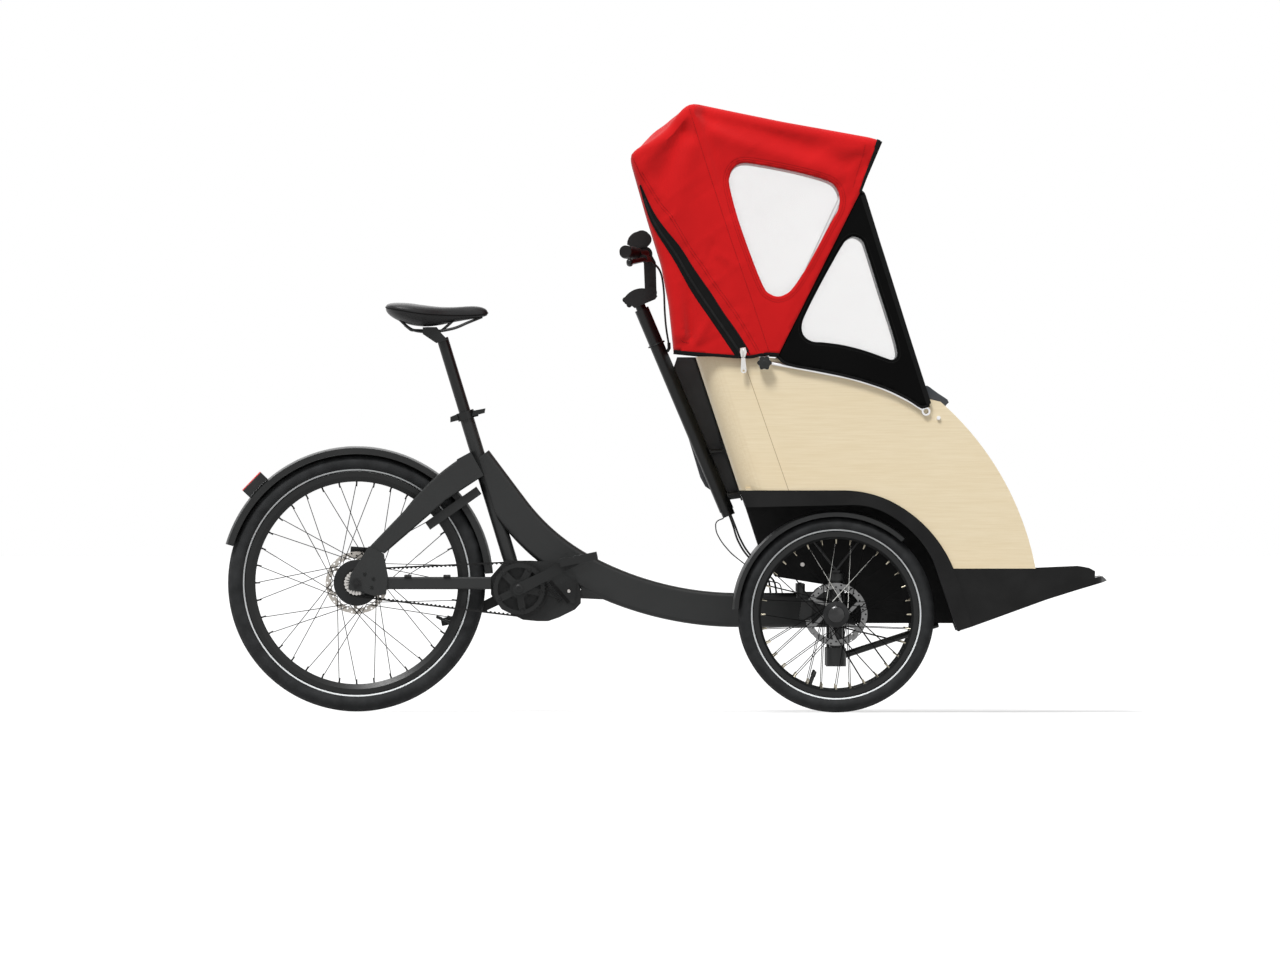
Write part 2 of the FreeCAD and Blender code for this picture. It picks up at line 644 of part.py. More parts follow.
def seat_collar():
    """Split collar with a quick-release lever that points forwards."""
    low, high = seat_axis_point(SEAT_TUBE_TOP_Z - 14), seat_axis_point(SEAT_TUBE_TOP_Z + 6)
    ring = tube(low, high, SEAT_TUBE_R + 5, SEAT_TUBE_R + SEAT_GAP)
    x, z = seat_axis(SEAT_TUBE_TOP_Z - 4)
    lug = slab([(x - 40, z - 18), (x - 16, z - 12), (x - 16, z + 6), (x - 40, z - 4)], -8, 8)
    lever = slab([(x + 16, z - 2), (x + 48, z + 6), (x + 50, z + 18), (x + 18, z + 12)], -22, -10)
    pin = rod((x + 24, -22, z + 6), (x + 24, 12, z + 6), 5)
    ear = slab([(x + 14, z - 6), (x + 32, z - 2), (x + 32, z + 14), (x + 14, z + 12)], -10, 8)
    bore = rod(low, seat_axis_point(SEAT_TUBE_TOP_Z + 20), SEAT_TUBE_R + SEAT_GAP)
    return fuse([ring, lug, ear, pin, lever]).cut(bore)


STAY_TOP = [(-499.0, 664.6), (-580.5, 608.0, -668.0, 515.4), (-760.7, 418.9)]
STAY_LOW = [(-719.5, 404.8), (-645.0, 469.0, -562.5, 541.0), (-466.0, 604.0)]


def seat_stays():
    """Two broad arched arms over the wheel, joined by a yoke on the seat tube."""
    arm = slab(STAY_TOP + STAY_LOW, -STAY_Y[1], -STAY_Y[0])
    arm = arm.makeFillet(5.0, long_edges(arm, AXIS_Y, 70))
    arms = [arm, mirrored(arm)]
    yoke = slab([(-499.0, 664.6), (-535.0, 645.0), (-512.0, 580.0), (-466.0, 604.0)], -STAY_Y[1], STAY_Y[1])
    clear = rod(seat_axis_point(300), seat_axis_point(900), SEAT_TUBE_R + SEAT_GAP)
    ahead = slab(strip(seat_axis(300), seat_axis(900), -200, 0), -80, 80)
    bridge_x, bridge_z = polar(REAR_AXLE, REAR_GUARD_R + 7 + SEAT_GAP, 47)
    bridge = rod((bridge_x, -STAY_Y[0], bridge_z), (bridge_x, STAY_Y[0], bridge_z), 7)
    return fuse(arms + [yoke, bridge]).cut([clear, ahead])


def chain_stays():
    """Level stays, the bridge behind the motor that joins them, and the dropout plates."""
    made = []
    x0, x1 = CHAIN_STAY_X
    z0, z1 = CHAIN_STAY_Z
    for _, sign in SIDES:
        bar = box(x0, x1, sign * STAY_Y[0], sign * STAY_Y[1], z0, z1)
        made.append(bar.makeFillet(5.0, long_edges(bar, AXIS_Y, 150)))
        made.append(box(x0, x0 + 40, sign * STAY_Y[1], sign * DROPOUT_Y[0], z0, z1))
    made.append(box(x1 - 8, x1, -STAY_Y[0], STAY_Y[0], z0, z1))
    return fuse(made + dropouts())


def dropouts():
    """Plate on each side between the two stays, with the axle's slot closed round it."""
    made = []
    x, z = REAR_AXLE
    for _, sign in SIDES:
        y0, y1 = sign * DROPOUT_Y[0], sign * DROPOUT_Y[1]
        plate = slab([(-760.0, 423.0), (-806.0, 352.0), (-812.0, 312.0), (-777.0, 306.0), (-745.0, 296.0),
                      (-716.0, 300.0), (-711.0, 345.0), (-722.0, 404.0)], y0, y1)
        block = slab([(-752.0, 428.0), (-727.0, 405.0), (-722.0, 404.0), (-726.0, 389.0), (-757.0, 394.0)],
                     sign * STAY_Y[1], y0)
        made.append(fuse([plate, block]).cut(rod((x, y0 - 20, z), (x, y0 + 20, z), REAR_AXLE_R)))
    return made


def rear_axle():
    x, z = REAR_AXLE
    reach = DROPOUT_Y[1]
    shaft = rod((x, -reach - AXLE_END, z), (x, reach + AXLE_END, z), REAR_AXLE_R)
    nuts = [rod((x, sign * reach, z), (x, sign * (reach + AXLE_NUT_T), z), 11) for _, sign in SIDES]
    return fuse([shaft] + nuts)


MOTOR = [(-365.5, 235.0), (-328.7, 231.4), (-301.0, 231.4), (-273.6, 240.7), (-232.2, 261.2),
         (-217.3, 277.4), (-217.3, 309.6), (-228.0, 337.9), (-243.5, 360.0), (-273.6, 380.9),
         (-300.0, 384.0), (-345.0, 386.5), (-412.0, 386.5), (-447.5, 345.0), (-447.5, 300.0), (-420.0, 262.0)]


def motor_body():
    return slab(MOTOR, MOTOR_Y[0], MOTOR_Y[1])


def drive_motor():
    """Mid motor with a raised belt-side cover and the crank's bore."""
    x, z = CRANK_AXIS
    cover = slab([polar(CRANK_AXIS, 20, 0), (-233.0, 275.0), (-228.0, 330.0), (-290.0, 372.0)],
                 MOTOR_Y[0] - 4, MOTOR_Y[0])
    barrel = rod((x, MOTOR_Y[0] - 4, z), (x, MOTOR_Y[1] + 14, z), 30)
    bore = rod((x, -100, z), (x, 100, z), SPINDLE_R + RUNNING_GAP)
    body = fuse([motor_body(), cover, barrel])
    socket = rod(seat_axis_point(SEAT_TUBE_FOOT[1] - SEAT_TUBE_SINK), seat_axis_point(900), SEAT_TUBE_R + SEAT_GAP)
    return body.cut([bore, socket, beam_envelope(), gusset()])


def gusset():
    """The web that closes the corner between the motor housing's front and the beam's underside."""
    return slab([(-217.3, 345.0), (-217.3, 289.5), (-150.0, 286.5), (-150.0, 320.0)], 2 - BEAM_W / 2, BEAM_W / 2 - 2)


def beam_envelope():
    """The main beam's full section, for cutting the motor's cheeks clear of it."""
    high, half = BEAM_H / 2 + SEAT_GAP, BEAM_W / 2 + SEAT_GAP
    return slab(beam_edge(high) + backwards(beam_edge(-high)), -half, half)


# ---- rider's saddle ------------------------------------------------------------------------
SADDLE_REAR_X = -717.0
SADDLE_NOSE_X = -453.0


def saddle():
    """Broad at the back, narrow at the nose; the side view's curve cut through the plan."""
    plan = Part.Wire([
        Part.Arc(V(-680, -78, 960), V(SADDLE_REAR_X, 0, 960), V(-680, 78, 960)).toShape(),
        Part.LineSegment(V(-680, 78, 960), V(-620, 70, 960)).toShape(),
        Part.Arc(V(-620, 70, 960), V(-560, 34, 960), V(-500, 22, 960)).toShape(),
        Part.Arc(V(-500, 22, 960), V(SADDLE_NOSE_X, 0, 960), V(-500, -22, 960)).toShape(),
        Part.Arc(V(-500, -22, 960), V(-560, -34, 960), V(-620, -70, 960)).toShape(),
        Part.LineSegment(V(-620, -70, 960), V(-680, -78, 960)).toShape(),
    ])
    body = Part.Face(plan).extrude(V(0, 0, 120))
    side = slab([(-720.0, 1034.0), (-690.0, 1046.0, -640.0, 1042.0), (-570.0, 1034.0, -500.0, 1046.0),
                 (-460.0, 1040.0, -448.0, 1022.0), (-520.0, 1008.0), (-600.0, 985.0, -660.0, 985.0),
                 (-700.0, 1000.0, -722.0, 1020.0)], -90, 90)
    return body.common(side)


def saddle_clamp():
    """Two bent rails under the saddle, held by the clamp on the seat post."""
    rails = []
    for _, sign in SIDES:
        y = sign * 20
        rails.append(bent_tube([(-676, y, 996), (-652, y, 976), (-574, y, 974), (-540, y, 1004)], 3.5, 12))
    top = seat_axis(SEAT_POST_TOP_Z)
    block = slab([(-622, 966), (-622, 984), (-586, 984), (-574, 968), (top[0] + 14, top[1] - 4),
                  (top[0] - 16, top[1] - 12)], -27, 27)
    bore = rod(seat_axis_point(SEAT_POST_TOP_Z - 40), seat_axis_point(SEAT_POST_TOP_Z), SEAT_POST_R)
    return fuse([block] + rails).cut([bore, saddle()])


# ---- front axle and steered knuckles -------------------------------------------------------
def axle_beam():
    """Half axles from the main beam to the yokes that hold the kingpins, each with the strut
    that braces its lower kingpin cup to the floor frame in front."""
    x, z = FRONT_AXLE
    made = []
    for _, sign in SIDES:
        inner, outer = sign * BEAM_W / 2, sign * 264
        shaft = tube((x, inner, z), (x, outer, z), 22, 18)
        plate = box(x - 22, x + 22, sign * 262, sign * 274, CUP_Z[0] + 8, YOKE_TOP_Z[1])
        low_arm = box(x - 16, x + 16, sign * 270, sign * KINGPIN_Y, CUP_Z[0] + 8, CUP_Z[1] - 8)
        top_arm = box(x - 22, x + 22, sign * 270, sign * KINGPIN_Y, YOKE_TOP_Z[0], YOKE_TOP_Z[1])
        pin_y = sign * KINGPIN_Y
        cup = rod((x, pin_y, CUP_Z[0]), (x, pin_y, CUP_Z[1]), CUP_R)
        eye = rod((x, pin_y, YOKE_TOP_Z[0]), (x, pin_y, YOKE_TOP_Z[1]), 22)
        strut = rod((x + 14, sign * 308, 142), (694, sign * 202, 223), STRUT_R).cut(floor_rail(sign))
        bore = rod((x, pin_y, CUP_Z[0] + 8), (x, pin_y, 400), KINGPIN_R + RUNNING_GAP)
        made.append(fuse([shaft, plate, low_arm, top_arm, cup, eye, strut]).cut(bore))
    return Part.makeCompound(made)


def knuckle(sign):
    """Kingpin, stub axle, steering arm, caliper bracket and mudguard bracket of one side."""
    x, z = FRONT_AXLE
    y = sign * KINGPIN_Y
    pin = rod((x, y, CUP_Z[0] + 9), (x, y, YOKE_TOP_Z[1] + 8), KINGPIN_R)
    sleeve = rod((x, y, CUP_Z[1] + 2), (x, y, YOKE_TOP_Z[0] - 2), KNUCKLE_R)
    boss = rod((x, y, z), (x, sign * (HALF_TRACK - 45), z), 17)
    stub = rod((x, y, z), (x, sign * (HALF_TRACK + 39), z), STUB_R)
    arm_x = x - STEER_ARM_LENGTH
    arm = box(arm_x, x, y - 9, y + 9, STEER_ARM_Z - 26, STEER_ARM_Z - 12)
    arm_end = rod((arm_x, y, STEER_ARM_Z - 26), (arm_x, y, STEER_ARM_Z - 12), 11)
    ball_pin = rod((arm_x, y, STEER_ARM_Z - 13), (arm_x, y, STEER_ARM_Z + 12), 5)
    bracket = box(352, x, sign * 330, sign * 339.5, z, z + 22)
    guard_bracket = box(x - 10, x + 10, y, sign * 358.5, YOKE_TOP_Z[1] + 3, YOKE_TOP_Z[1] + 8)
    return fuse([sleeve, pin, boss, stub, arm, arm_end, ball_pin, bracket, guard_bracket])


def guard_stays(sign):
    """Two wires from the knuckle up to the inner edge of the mudguard."""
    x = FRONT_AXLE[0]
    y = sign * (HALF_TRACK - FRONT_GUARD_W / 2 - GUARD_STAY_R - SEAT_GAP)
    made = []
    for angle in (68, 112):
        end_x, end_z = polar(FRONT_AXLE, FRONT_GUARD_R - 7, angle)
        made.append(rod((x, y, YOKE_TOP_Z[1] + 9), (end_x, y, end_z), GUARD_STAY_R))
    clear = box(x - 30, x + 30, y - 10, y + 10, YOKE_TOP_Z[1] - 20, YOKE_TOP_Z[1] + 8)
    return fuse(made).cut(clear)


def caliper(centre, angle, y, half, inner_y, outer_y):
    """Caliper body astride the rotor's rim, at an angle round the axle."""
    near, far = polar(centre, ROTOR_R - 18, angle), polar(centre, ROTOR_R + 12, angle)
    body = slab(strip(near, far, -half, half), inner_y, outer_y)
    slot_near = polar(centre, ROTOR_R - 30, angle)
    slot_far = polar(centre, ROTOR_R + CALIPER_GAP, angle)
    reach = ROTOR_T / 2 + CALIPER_GAP
    return body.cut(slab(strip(slot_near, slot_far, -40, 40), y - reach, y + reach))


def tie_rod():
    x = FRONT_AXLE[0] - STEER_ARM_LENGTH
    made = [rod((x, -KINGPIN_Y, STEER_ARM_Z), (x, KINGPIN_Y, STEER_ARM_Z), TIE_ROD_R)]
    bores = []
    for _, sign in SIDES:
        y = sign * KINGPIN_Y
        made.append(rod((x, y, STEER_ARM_Z - 11.7), (x, y, STEER_ARM_Z + 10), 11))
        bores.append(rod((x, y, STEER_ARM_Z - 30), (x, y, STEER_ARM_Z + 30), 5 + RUNNING_GAP))
    return fuse(made).cut(bores)


# ---- bent tubes ----------------------------------------------------------------------------
def tangent_path(points, largest=None):
    """Wire of straight runs joined by tangent arcs. Each arc is as large as its two runs allow,
    or the given radius where that is smaller."""
    points = [V(*p) for p in points]
    edges = []
    here = points[0]
    for index in range(1, len(points) - 1):
        corner = points[index]
        back, ahead = points[index - 1] - corner, points[index + 1] - corner
        shorter = min(back.Length, ahead.Length)
        back.normalize()
        ahead.normalize()
        turn = math.pi - back.getAngle(ahead)
        reach = 0.45 * shorter
        if largest is not None:
            reach = min(reach, largest * math.tan(turn / 2))
        radius = reach / math.tan(turn / 2)
        start, end = corner + back * reach, corner + ahead * reach
        middle = (back + ahead).normalize()
        centre = corner + middle * math.hypot(reach, radius)
        edges.append(Part.LineSegment(here, start).toShape())
        edges.append(Part.Arc(start, centre - middle * radius, end).toShape())
        here = end
    edges.append(Part.LineSegment(here, points[-1]).toShape())
    return Part.Wire(edges)


def bent_tube(points, radius, largest=None):
    path = tangent_path(points, largest)
    first = V(*points[0])
    heading = V(*points[1]) - first
    ring = Part.Wire([Part.Circle(first, heading, radius).toShape()])
    return path.makePipeShell([ring], True, False)


# ---- steering column and bar ----------------------------------------------------------------
def column_point(z):
    """Point of the column's axis at a height."""
    share = (z - COLUMN_TOP[1]) / (COLUMN_FOOT[1] - COLUMN_TOP[1])
    return COLUMN_TOP[0] + share * (COLUMN_FOOT[0] - COLUMN_TOP[0]), 0, z


def steering_column():
    """Tube with a bearing ring pressed in at both ends, a capped foot and its two brackets."""
    foot, top = column_point(COLUMN_FOOT[1]), column_point(COLUMN_TOP[1])
    shell = tube(foot, top, COLUMN_R, COLUMN_BORE_R)
    ring_bore = STEERER_R + RUNNING_GAP
    top_ring = tube(column_point(COLUMN_TOP[1] - BEARING_RISE), top, COLUMN_BORE_R, ring_bore)
    low_ring = tube(foot, column_point(COLUMN_FOOT[1] + BEARING_RISE), COLUMN_BORE_R, ring_bore)
    cap = rod(column_point(COLUMN_FOOT[1] - 14), foot, COLUMN_R - 2)
    return fuse([shell, top_ring, low_ring, cap] + column_brackets())


def stem():
    """Steerer that turns in the column, its clamp head, and a hinged riser up to the bar."""
    steerer = rod(column_point(COLUMN_FOOT[1] + 1), column_point(COLUMN_TOP[1] + 30), STEERER_R)
    head = slab([(-80.0, 1032.5), (-91.0, 1041.5), (-108.0, 1052.0, -104.0, 1061.5), (-91.0, 1074.0, -54.0, 1083.0),
                 (-30.0, 1076.0), (-21.5, 1063.0), (-27.0, 1055.0), (-48.5, 1046.0)], -24, 24)
    x, z = STEM_PIVOT
    pivot = rod((x, -27, z), (x, 27, z), 16)
    bolt = rod((x, -29, z), (x, 29, z), 7)
    riser = slab([(x - 15, z), (x + 15, z), (x + 13, z + 78), (BAR_CENTRE[0] + 16, BAR_CENTRE[1]),
                  (BAR_CENTRE[0] - 17, BAR_CENTRE[1]), (x - 18, z + 76)], -16, 16)
    clamp = rod((BAR_CENTRE[0], -21, BAR_CENTRE[1]), (BAR_CENTRE[0], 21, BAR_CENTRE[1]), 19)
    rear_bolts = [rod((bolt_x, -18, bolt_z), (bolt_x, 18, bolt_z), 7) for bolt_x, bolt_z in ((-104.0, 1053.5), (-93.5, 1041.0))]
    bar_bore = rod((BAR_CENTRE[0], -60, BAR_CENTRE[1]), (BAR_CENTRE[0], 60, BAR_CENTRE[1]), BAR_R + 3 + 0.05)
    return fuse([steerer, head, pivot, bolt, riser, clamp] + rear_bolts).cut(bar_bore)


def bar_point(sign, share):
    """Point on the bar's outer run; share 0 is the outer bend and 1 the end."""
    x = BAR_CENTRE[0] + (GRIP_END[0] - BAR_CENTRE[0]) * (0.35 + 0.65 * share)
    z = BAR_CENTRE[1] + (GRIP_END[1] - BAR_CENTRE[1]) * share
    y = 110 + (BAR_HALF - 110) * share
    return x, sign * y, z


def handlebar():
    x, z = BAR_CENTRE
    points = [bar_point(-1, 1), bar_point(-1, 0), (x, -50, z),
              (x, 50, z), bar_point(1, 0), bar_point(1, 1)]
    bar = bent_tube(points, BAR_R, 60)
    middle = rod((x, -26, z), (x, 26, z), BAR_R + 3)
    return fuse([bar, middle])


def grip(sign):
    end, start = V(*bar_point(sign, 1)), V(*bar_point(sign, 0))
    inward = (start - end).normalize()
    outer_end = end - inward * 2
    sleeve = Part.makeCylinder(GRIP_R, GRIP_LENGTH, outer_end, inward)
    bore = Part.makeCylinder(BAR_R + 0.1, GRIP_LENGTH, end, inward)
    return sleeve.cut(bore)


def brake_lever(sign):
    """Clamp, master cylinder and blade in front of and below the grip."""
    end, start = V(*bar_point(sign, 1)), V(*bar_point(sign, 0))
    inward = (start - end).normalize()
    seat = end + inward * (GRIP_LENGTH + 4)
    clamp = Part.makeCylinder(16, 12, seat, inward)
    bore = Part.makeCylinder(BAR_R + 0.1, 40, seat - inward * 10, inward)
    reach = V(26, 0, -14)
    body = Part.makeCylinder(9, 52, seat + reach - inward * 22, inward)
    bridge = Part.makeCylinder(7, 30, seat + inward * 6, reach)
    pivot = seat + reach * 1.1 - inward * 18
    tip = end + V(11, 0, -27)
    blade = Part.makeCylinder(5.5, pivot.distanceToPoint(tip), pivot, tip - pivot)
    knob = Part.makeSphere(9, tip)
    return fuse([clamp, body, bridge, blade, knob]).cut(bore)


def display():
    x, z = BAR_CENTRE
    case = slab([(x - 46, z + 24), (x - 40, z + 44, x - 20, z + 57), (x - 4, z + 60, x + 9, z + 52),
                 (x + 16, z + 42, x + 13, z + 26), (x, z + 12), (x - 18, z + 10)], -36, 36)
    seat = rod((x, -60, z), (x, 60, z), 19 + SEAT_GAP)
    return case.cut(seat)


# ---- cabin -------------------------------------------------------------------------------
ARCH_OUTER = [(189.0, 566.0), (454.0, 566.0), (515.0, 559.0, 566.0, 542.0),
              (668.0, 468.0, 733.0, 367.0), (754.0, 309.0), (781.0, 219.0)]
ARCH_INNER = [(744.0, 207.0), (733.0, 236.0), (708.0, 309.0), (692.0, 355.0, 681.0, 387.0),
              (632.0, 456.0, 564.0, 507.0), (520.0, 524.0, 470.0, 529.0), (204.0, 523.0)]
SIDE_FRONT = [(942.0, 367.0), (838.0, 631.0, 700.0, 792.0)]


def arch_trim(sign):
    """Black band that edges the wheel arch, standing a little proud of the plywood."""
    outer = sign * (CABIN_HALF + TRIM_PROUD)
    return slab(ARCH_OUTER + ARCH_INNER, outer, outer - sign * TRIM_T)


def cabin_side(sign):
    """Plywood side panel from the rear corner's seam to the curved front edge."""
    top_x = WALL_TOP[0] + CORNER_REACH
    foot_x = WALL_FOOT[0] + CORNER_REACH
    edge = [(foot_x, 566.0), (454.0, 566.0), (515.0, 559.0, 566.0, 542.0), (668.0, 468.0, 733.0, 367.0)]
    edge += SIDE_FRONT + [(640.0, 806.0), (440.0, 876.0, top_x, WALL_TOP[1])]
    outer = sign * CABIN_HALF
    return slab(edge, outer, outer - sign * PLY_T)


def wall_lean():
    return (WALL_FOOT[0] - WALL_TOP[0]) / (WALL_TOP[1] - WALL_FOOT[1])


def cabin_rear():
    """Bent plywood back: a flat wall whose rounded corners run forwards along both sides."""
    def bent(half, reach, radius):
        x0, x1 = 0.0, reach
        return Part.Wire([
            Part.LineSegment(V(x1, -half, 0), V(x0 + radius, -half, 0)).toShape(),
            Part.Arc(V(x0 + radius, -half, 0),
                     V(x0 + radius * (1 - math.sqrt(0.5)), -half + radius * (1 - math.sqrt(0.5)), 0),
                     V(x0, -half + radius, 0)).toShape(),
            Part.LineSegment(V(x0, -half + radius, 0), V(x0, half - radius, 0)).toShape(),
            Part.Arc(V(x0, half - radius, 0),
                     V(x0 + radius * (1 - math.sqrt(0.5)), half - radius * (1 - math.sqrt(0.5)), 0),
                     V(x0 + radius, half, 0)).toShape(),
            Part.LineSegment(V(x0 + radius, half, 0), V(x1, half, 0)).toShape(),
            Part.LineSegment(V(x1, half, 0), V(x1, -half, 0)).toShape(),
        ])
    rise = WALL_TOP[1] - WALL_FOOT[1]
    climb = V(-rise * wall_lean(), 0, rise)
    outer = Part.Face(bent(CABIN_HALF, CORNER_REACH, CORNER_R)).extrude(climb)
    inner_wire = bent(CABIN_HALF - PLY_T, CORNER_REACH + 20, CORNER_R - PLY_T)
    inner = Part.Face(inner_wire).extrude(climb)
    inner.translate(V(PLY_T * math.hypot(1, wall_lean()), 0, 0))
    shell = outer.cut(inner)
    shell.translate(V(WALL_FOOT[0], 0, WALL_FOOT[1]))
    return shell


def wheel_space(margin):
    """Outline of the space a wheel turns in, grown by a margin."""
    face = Part.Face(outline(ARCH_INNER + [(204.0, 207.0)]))
    return face.makeOffset2D(margin) if margin else face


def wheel_well(sign):
    """Moulded liner over one wheel: arched ceiling, inner wall and the band round the arch."""
    inner_y, trim_y = sign * WELL_Y, sign * (CABIN_HALF + TRIM_PROUD - TRIM_T)
    low, high = min(inner_y, trim_y), max(inner_y, trim_y)
    grown = wheel_space(TUB_T).extrude(V(0, high - low, 0))
    space = wheel_space(0).extrude(V(0, high - low, 0))
    ceiling = grown.cut(space)
    ceiling.translate(V(0, low, 0))
    ceiling = ceiling.cut([box(0, 204, -500, 500, 0, 600), box(0, 800, -500, 500, 0, 207)])
    wall = wheel_space(TUB_T).extrude(V(0, TUB_T, 0))
    wall.translate(V(0, inner_y - (TUB_T if sign > 0 else 0), 0))
    keep = slab([(204.0, 540.0), (204.0, 523.0), (239.0, 415.0), (279.0, 346.0), (434.0, 321.0),
                 (486.0, 313.0), (486.0, FLOOR_Z - RAIL_H), (760.0, FLOOR_Z - RAIL_H), (760.0, 540.0)],
                -CABIN_HALF, CABIN_HALF)
    return fuse([ceiling, wall.common(keep), arch_trim(sign)])


def seat_box():
    """Rear and bottom skin of the box under the bench, bent from one sheet between the wells."""
    half = WELL_Y - TUB_T
    line = [(192.0, 563.0), (239.0, 415.0), (279.0, 346.0), (434.0, 321.0), (498.0, 311.0)]
    inner = [(498.0, 316.0), (435.0, 326.0), (282.0, 351.0), (244.0, 417.5), (198.0, 563.0)]
    skin = slab(line + inner, -half, half)
    board = box(BOARD_X, BOARD_X + PLY_T, -half, half, FLOOR_Z, BENCH_Z - BENCH_T)
    return Part.makeCompound([skin, board])


def floor_rail(sign):
    return box(BEAM_FRONT_X, 768, sign * 190, sign * 214, FLOOR_Z - RAIL_H, FLOOR_Z)


def floor_frame():
    """Rails and cross members under the footwell, welded to the main beam's front end."""
    made = [floor_rail(sign) for _, sign in SIDES]
    made.append(box(BEAM_FRONT_X, BOARD_X, -214, 214, FLOOR_Z - RAIL_H, 304))
    made.append(box(744, 768, -214, 214, FLOOR_Z - RAIL_H, FLOOR_Z))
    return fuse(made)


def cabin_floor():
    floor = box(BOARD_X + PLY_T, 815, TUB_T - WELL_Y, WELL_Y - TUB_T, FLOOR_Z, FLOOR_Z + FLOOR_T)
    return floor.cut(foot_scoop())


SCOOP = [(733.0, 367.0), (942.0, 367.0), (1058.0, 372.0), (1078.0, 369.0), (1102.0, 356.0),
         (1128.0, 336.0), (1044.0, 311.0), (971.0, 288.0), (781.0, 219.0), (754.0, 309.0)]
SCOOP_INNER = [(700.0, 500.0), (1200.0, 500.0), (1200.0, 363.0), (1100.0, 345.0), (1042.0, 317.0),
               (969.0, 293.5), (781.0, 225.0), (700.0, 225.0)]


def foot_scoop():
    """Moulded foot tray that runs forwards and up, with low sides and a bowed front lip."""
    half = CABIN_HALF
    plan = Part.Wire([
        Part.LineSegment(V(700, -half, 150), V(1075, -half, 150)).toShape(),
        Part.Arc(V(1075, -half, 150), V(1098, -half + 8, 150), V(1111, -half + 30, 150)).toShape(),
        Part.Arc(V(1111, -half + 30, 150), V(1128, 0, 150), V(1111, half - 30, 150)).toShape(),
        Part.Arc(V(1111, half - 30, 150), V(1098, half - 8, 150), V(1075, half, 150)).toShape(),
        Part.LineSegment(V(1075, half, 150), V(700, half, 150)).toShape(),
        Part.LineSegment(V(700, half, 150), V(700, -half, 150)).toShape(),
    ])
    block = slab(SCOOP, -half, half).common(Part.Face(plan).extrude(V(0, 0, 400)))
    hollow = slab(SCOOP_INNER, SCOOP_T - half, half - SCOOP_T)
    return block.cut(hollow)


def bench():
    """Bench board from the back wall to the front of the seat box, with the cabin's sides."""
    z0, z1 = BENCH_Z - BENCH_T, BENCH_Z
    rear = WALL_FOOT[0] + PLY_T * math.hypot(1, wall_lean()) + 2
    return box(rear, BOARD_X + PLY_T, PLY_T - CABIN_HALF, CABIN_HALF - PLY_T, z0, z1).cut(cabin_rear())


def seat_cushion():
    body = box(240, 505, -400, 400, BENCH_Z + 0.3, BENCH_Z + 0.3 + CUSHION_T)
    return body.makeFillet(16.0, body.Edges)


def back_cushion():
    """Pad that leans on the rear wall above the seat."""
    lean = wall_lean()
    z0, z1 = BENCH_Z + CUSHION_T + 2, 880.0
    x0 = WALL_FOOT[0] + PLY_T * math.hypot(1, lean) + 0.4
    def wall_x(z):
        return x0 - (z - WALL_FOOT[1]) * lean
    return slab([(wall_x(z0), z0), (wall_x(z0) + 50, z0 + 8), (wall_x(z1) + 42, z1), (wall_x(z1), z1)],
                -350, 350)


def armrest_pads():
    """Padded top lining along the inner face of each side panel's front shoulder."""
    made = []
    for _, sign in SIDES:
        inner = sign * (CABIN_HALF - PLY_T - 0.3)
        made.append(slab([(661.0, 835.0), (717.0, 795.0), (703.0, 740.0), (560.0, 790.0), (520.0, 845.0)],
                         inner, inner - sign * 22))
    return Part.makeCompound(made)


def battery():
    """Slim case on the back of the cabin, beside the steering column."""
    lean = wall_lean()
    def wall_x(z):
        return WALL_FOOT[0] - (z - WALL_FOOT[1]) * lean
    case = slab([(wall_x(556), 556), (122, 562), (101, 576), (88, 600), (58, 700), (14, 863), (29, 907),
                 (wall_x(907), 907)], 30, 150)
    return case.makeFillet(7.0, long_edges(case, AXIS_Y, 80))


# height on the column, rise to the wall, arm radius, half height of the plate on the wall
COLUMN_BRACKETS = ((663.0, 6.0, 5.5, 22.0), (549.0, 8.0, 10.0, 16.0))
BRACKET_PLATE = (26.0, 4.0)            # half width and thickness


def column_brackets():
    """Upper and lower standoffs that carry the column on the back of the cabin, each on a plate."""
    made = []
    lean = wall_lean()
    inside = rod(column_point(COLUMN_FOOT[1]), column_point(COLUMN_TOP[1]), COLUMN_BORE_R + 1)
    for z, rise, radius, plate_half in COLUMN_BRACKETS:
        end_z = z + rise
        wall_x = WALL_FOOT[0] - (end_z - WALL_FOOT[1]) * lean
        arm = rod(column_point(z), (wall_x + 6, 0, end_z), radius)
        foot = (wall_x + plate_half * lean, end_z - plate_half)
        head = (wall_x - plate_half * lean, end_z + plate_half)
        plate = slab(strip(foot, head, 0, BRACKET_PLATE[1]), -BRACKET_PLATE[0], BRACKET_PLATE[0])
        made.append(fuse([arm, plate]).cut([inside, wall_block()]))
    return made


def wall_block():
    """Everything in front of the rear wall's outer face, for cutting what seats on it."""
    lean = wall_lean()
    z0, z1 = 300.0, 1000.0
    return slab([(WALL_FOOT[0] - (z0 - WALL_FOOT[1]) * lean, z0), (600, z0), (600, z1),
                 (WALL_FOOT[0] - (z1 - WALL_FOOT[1]) * lean, z1)], -100, 100)


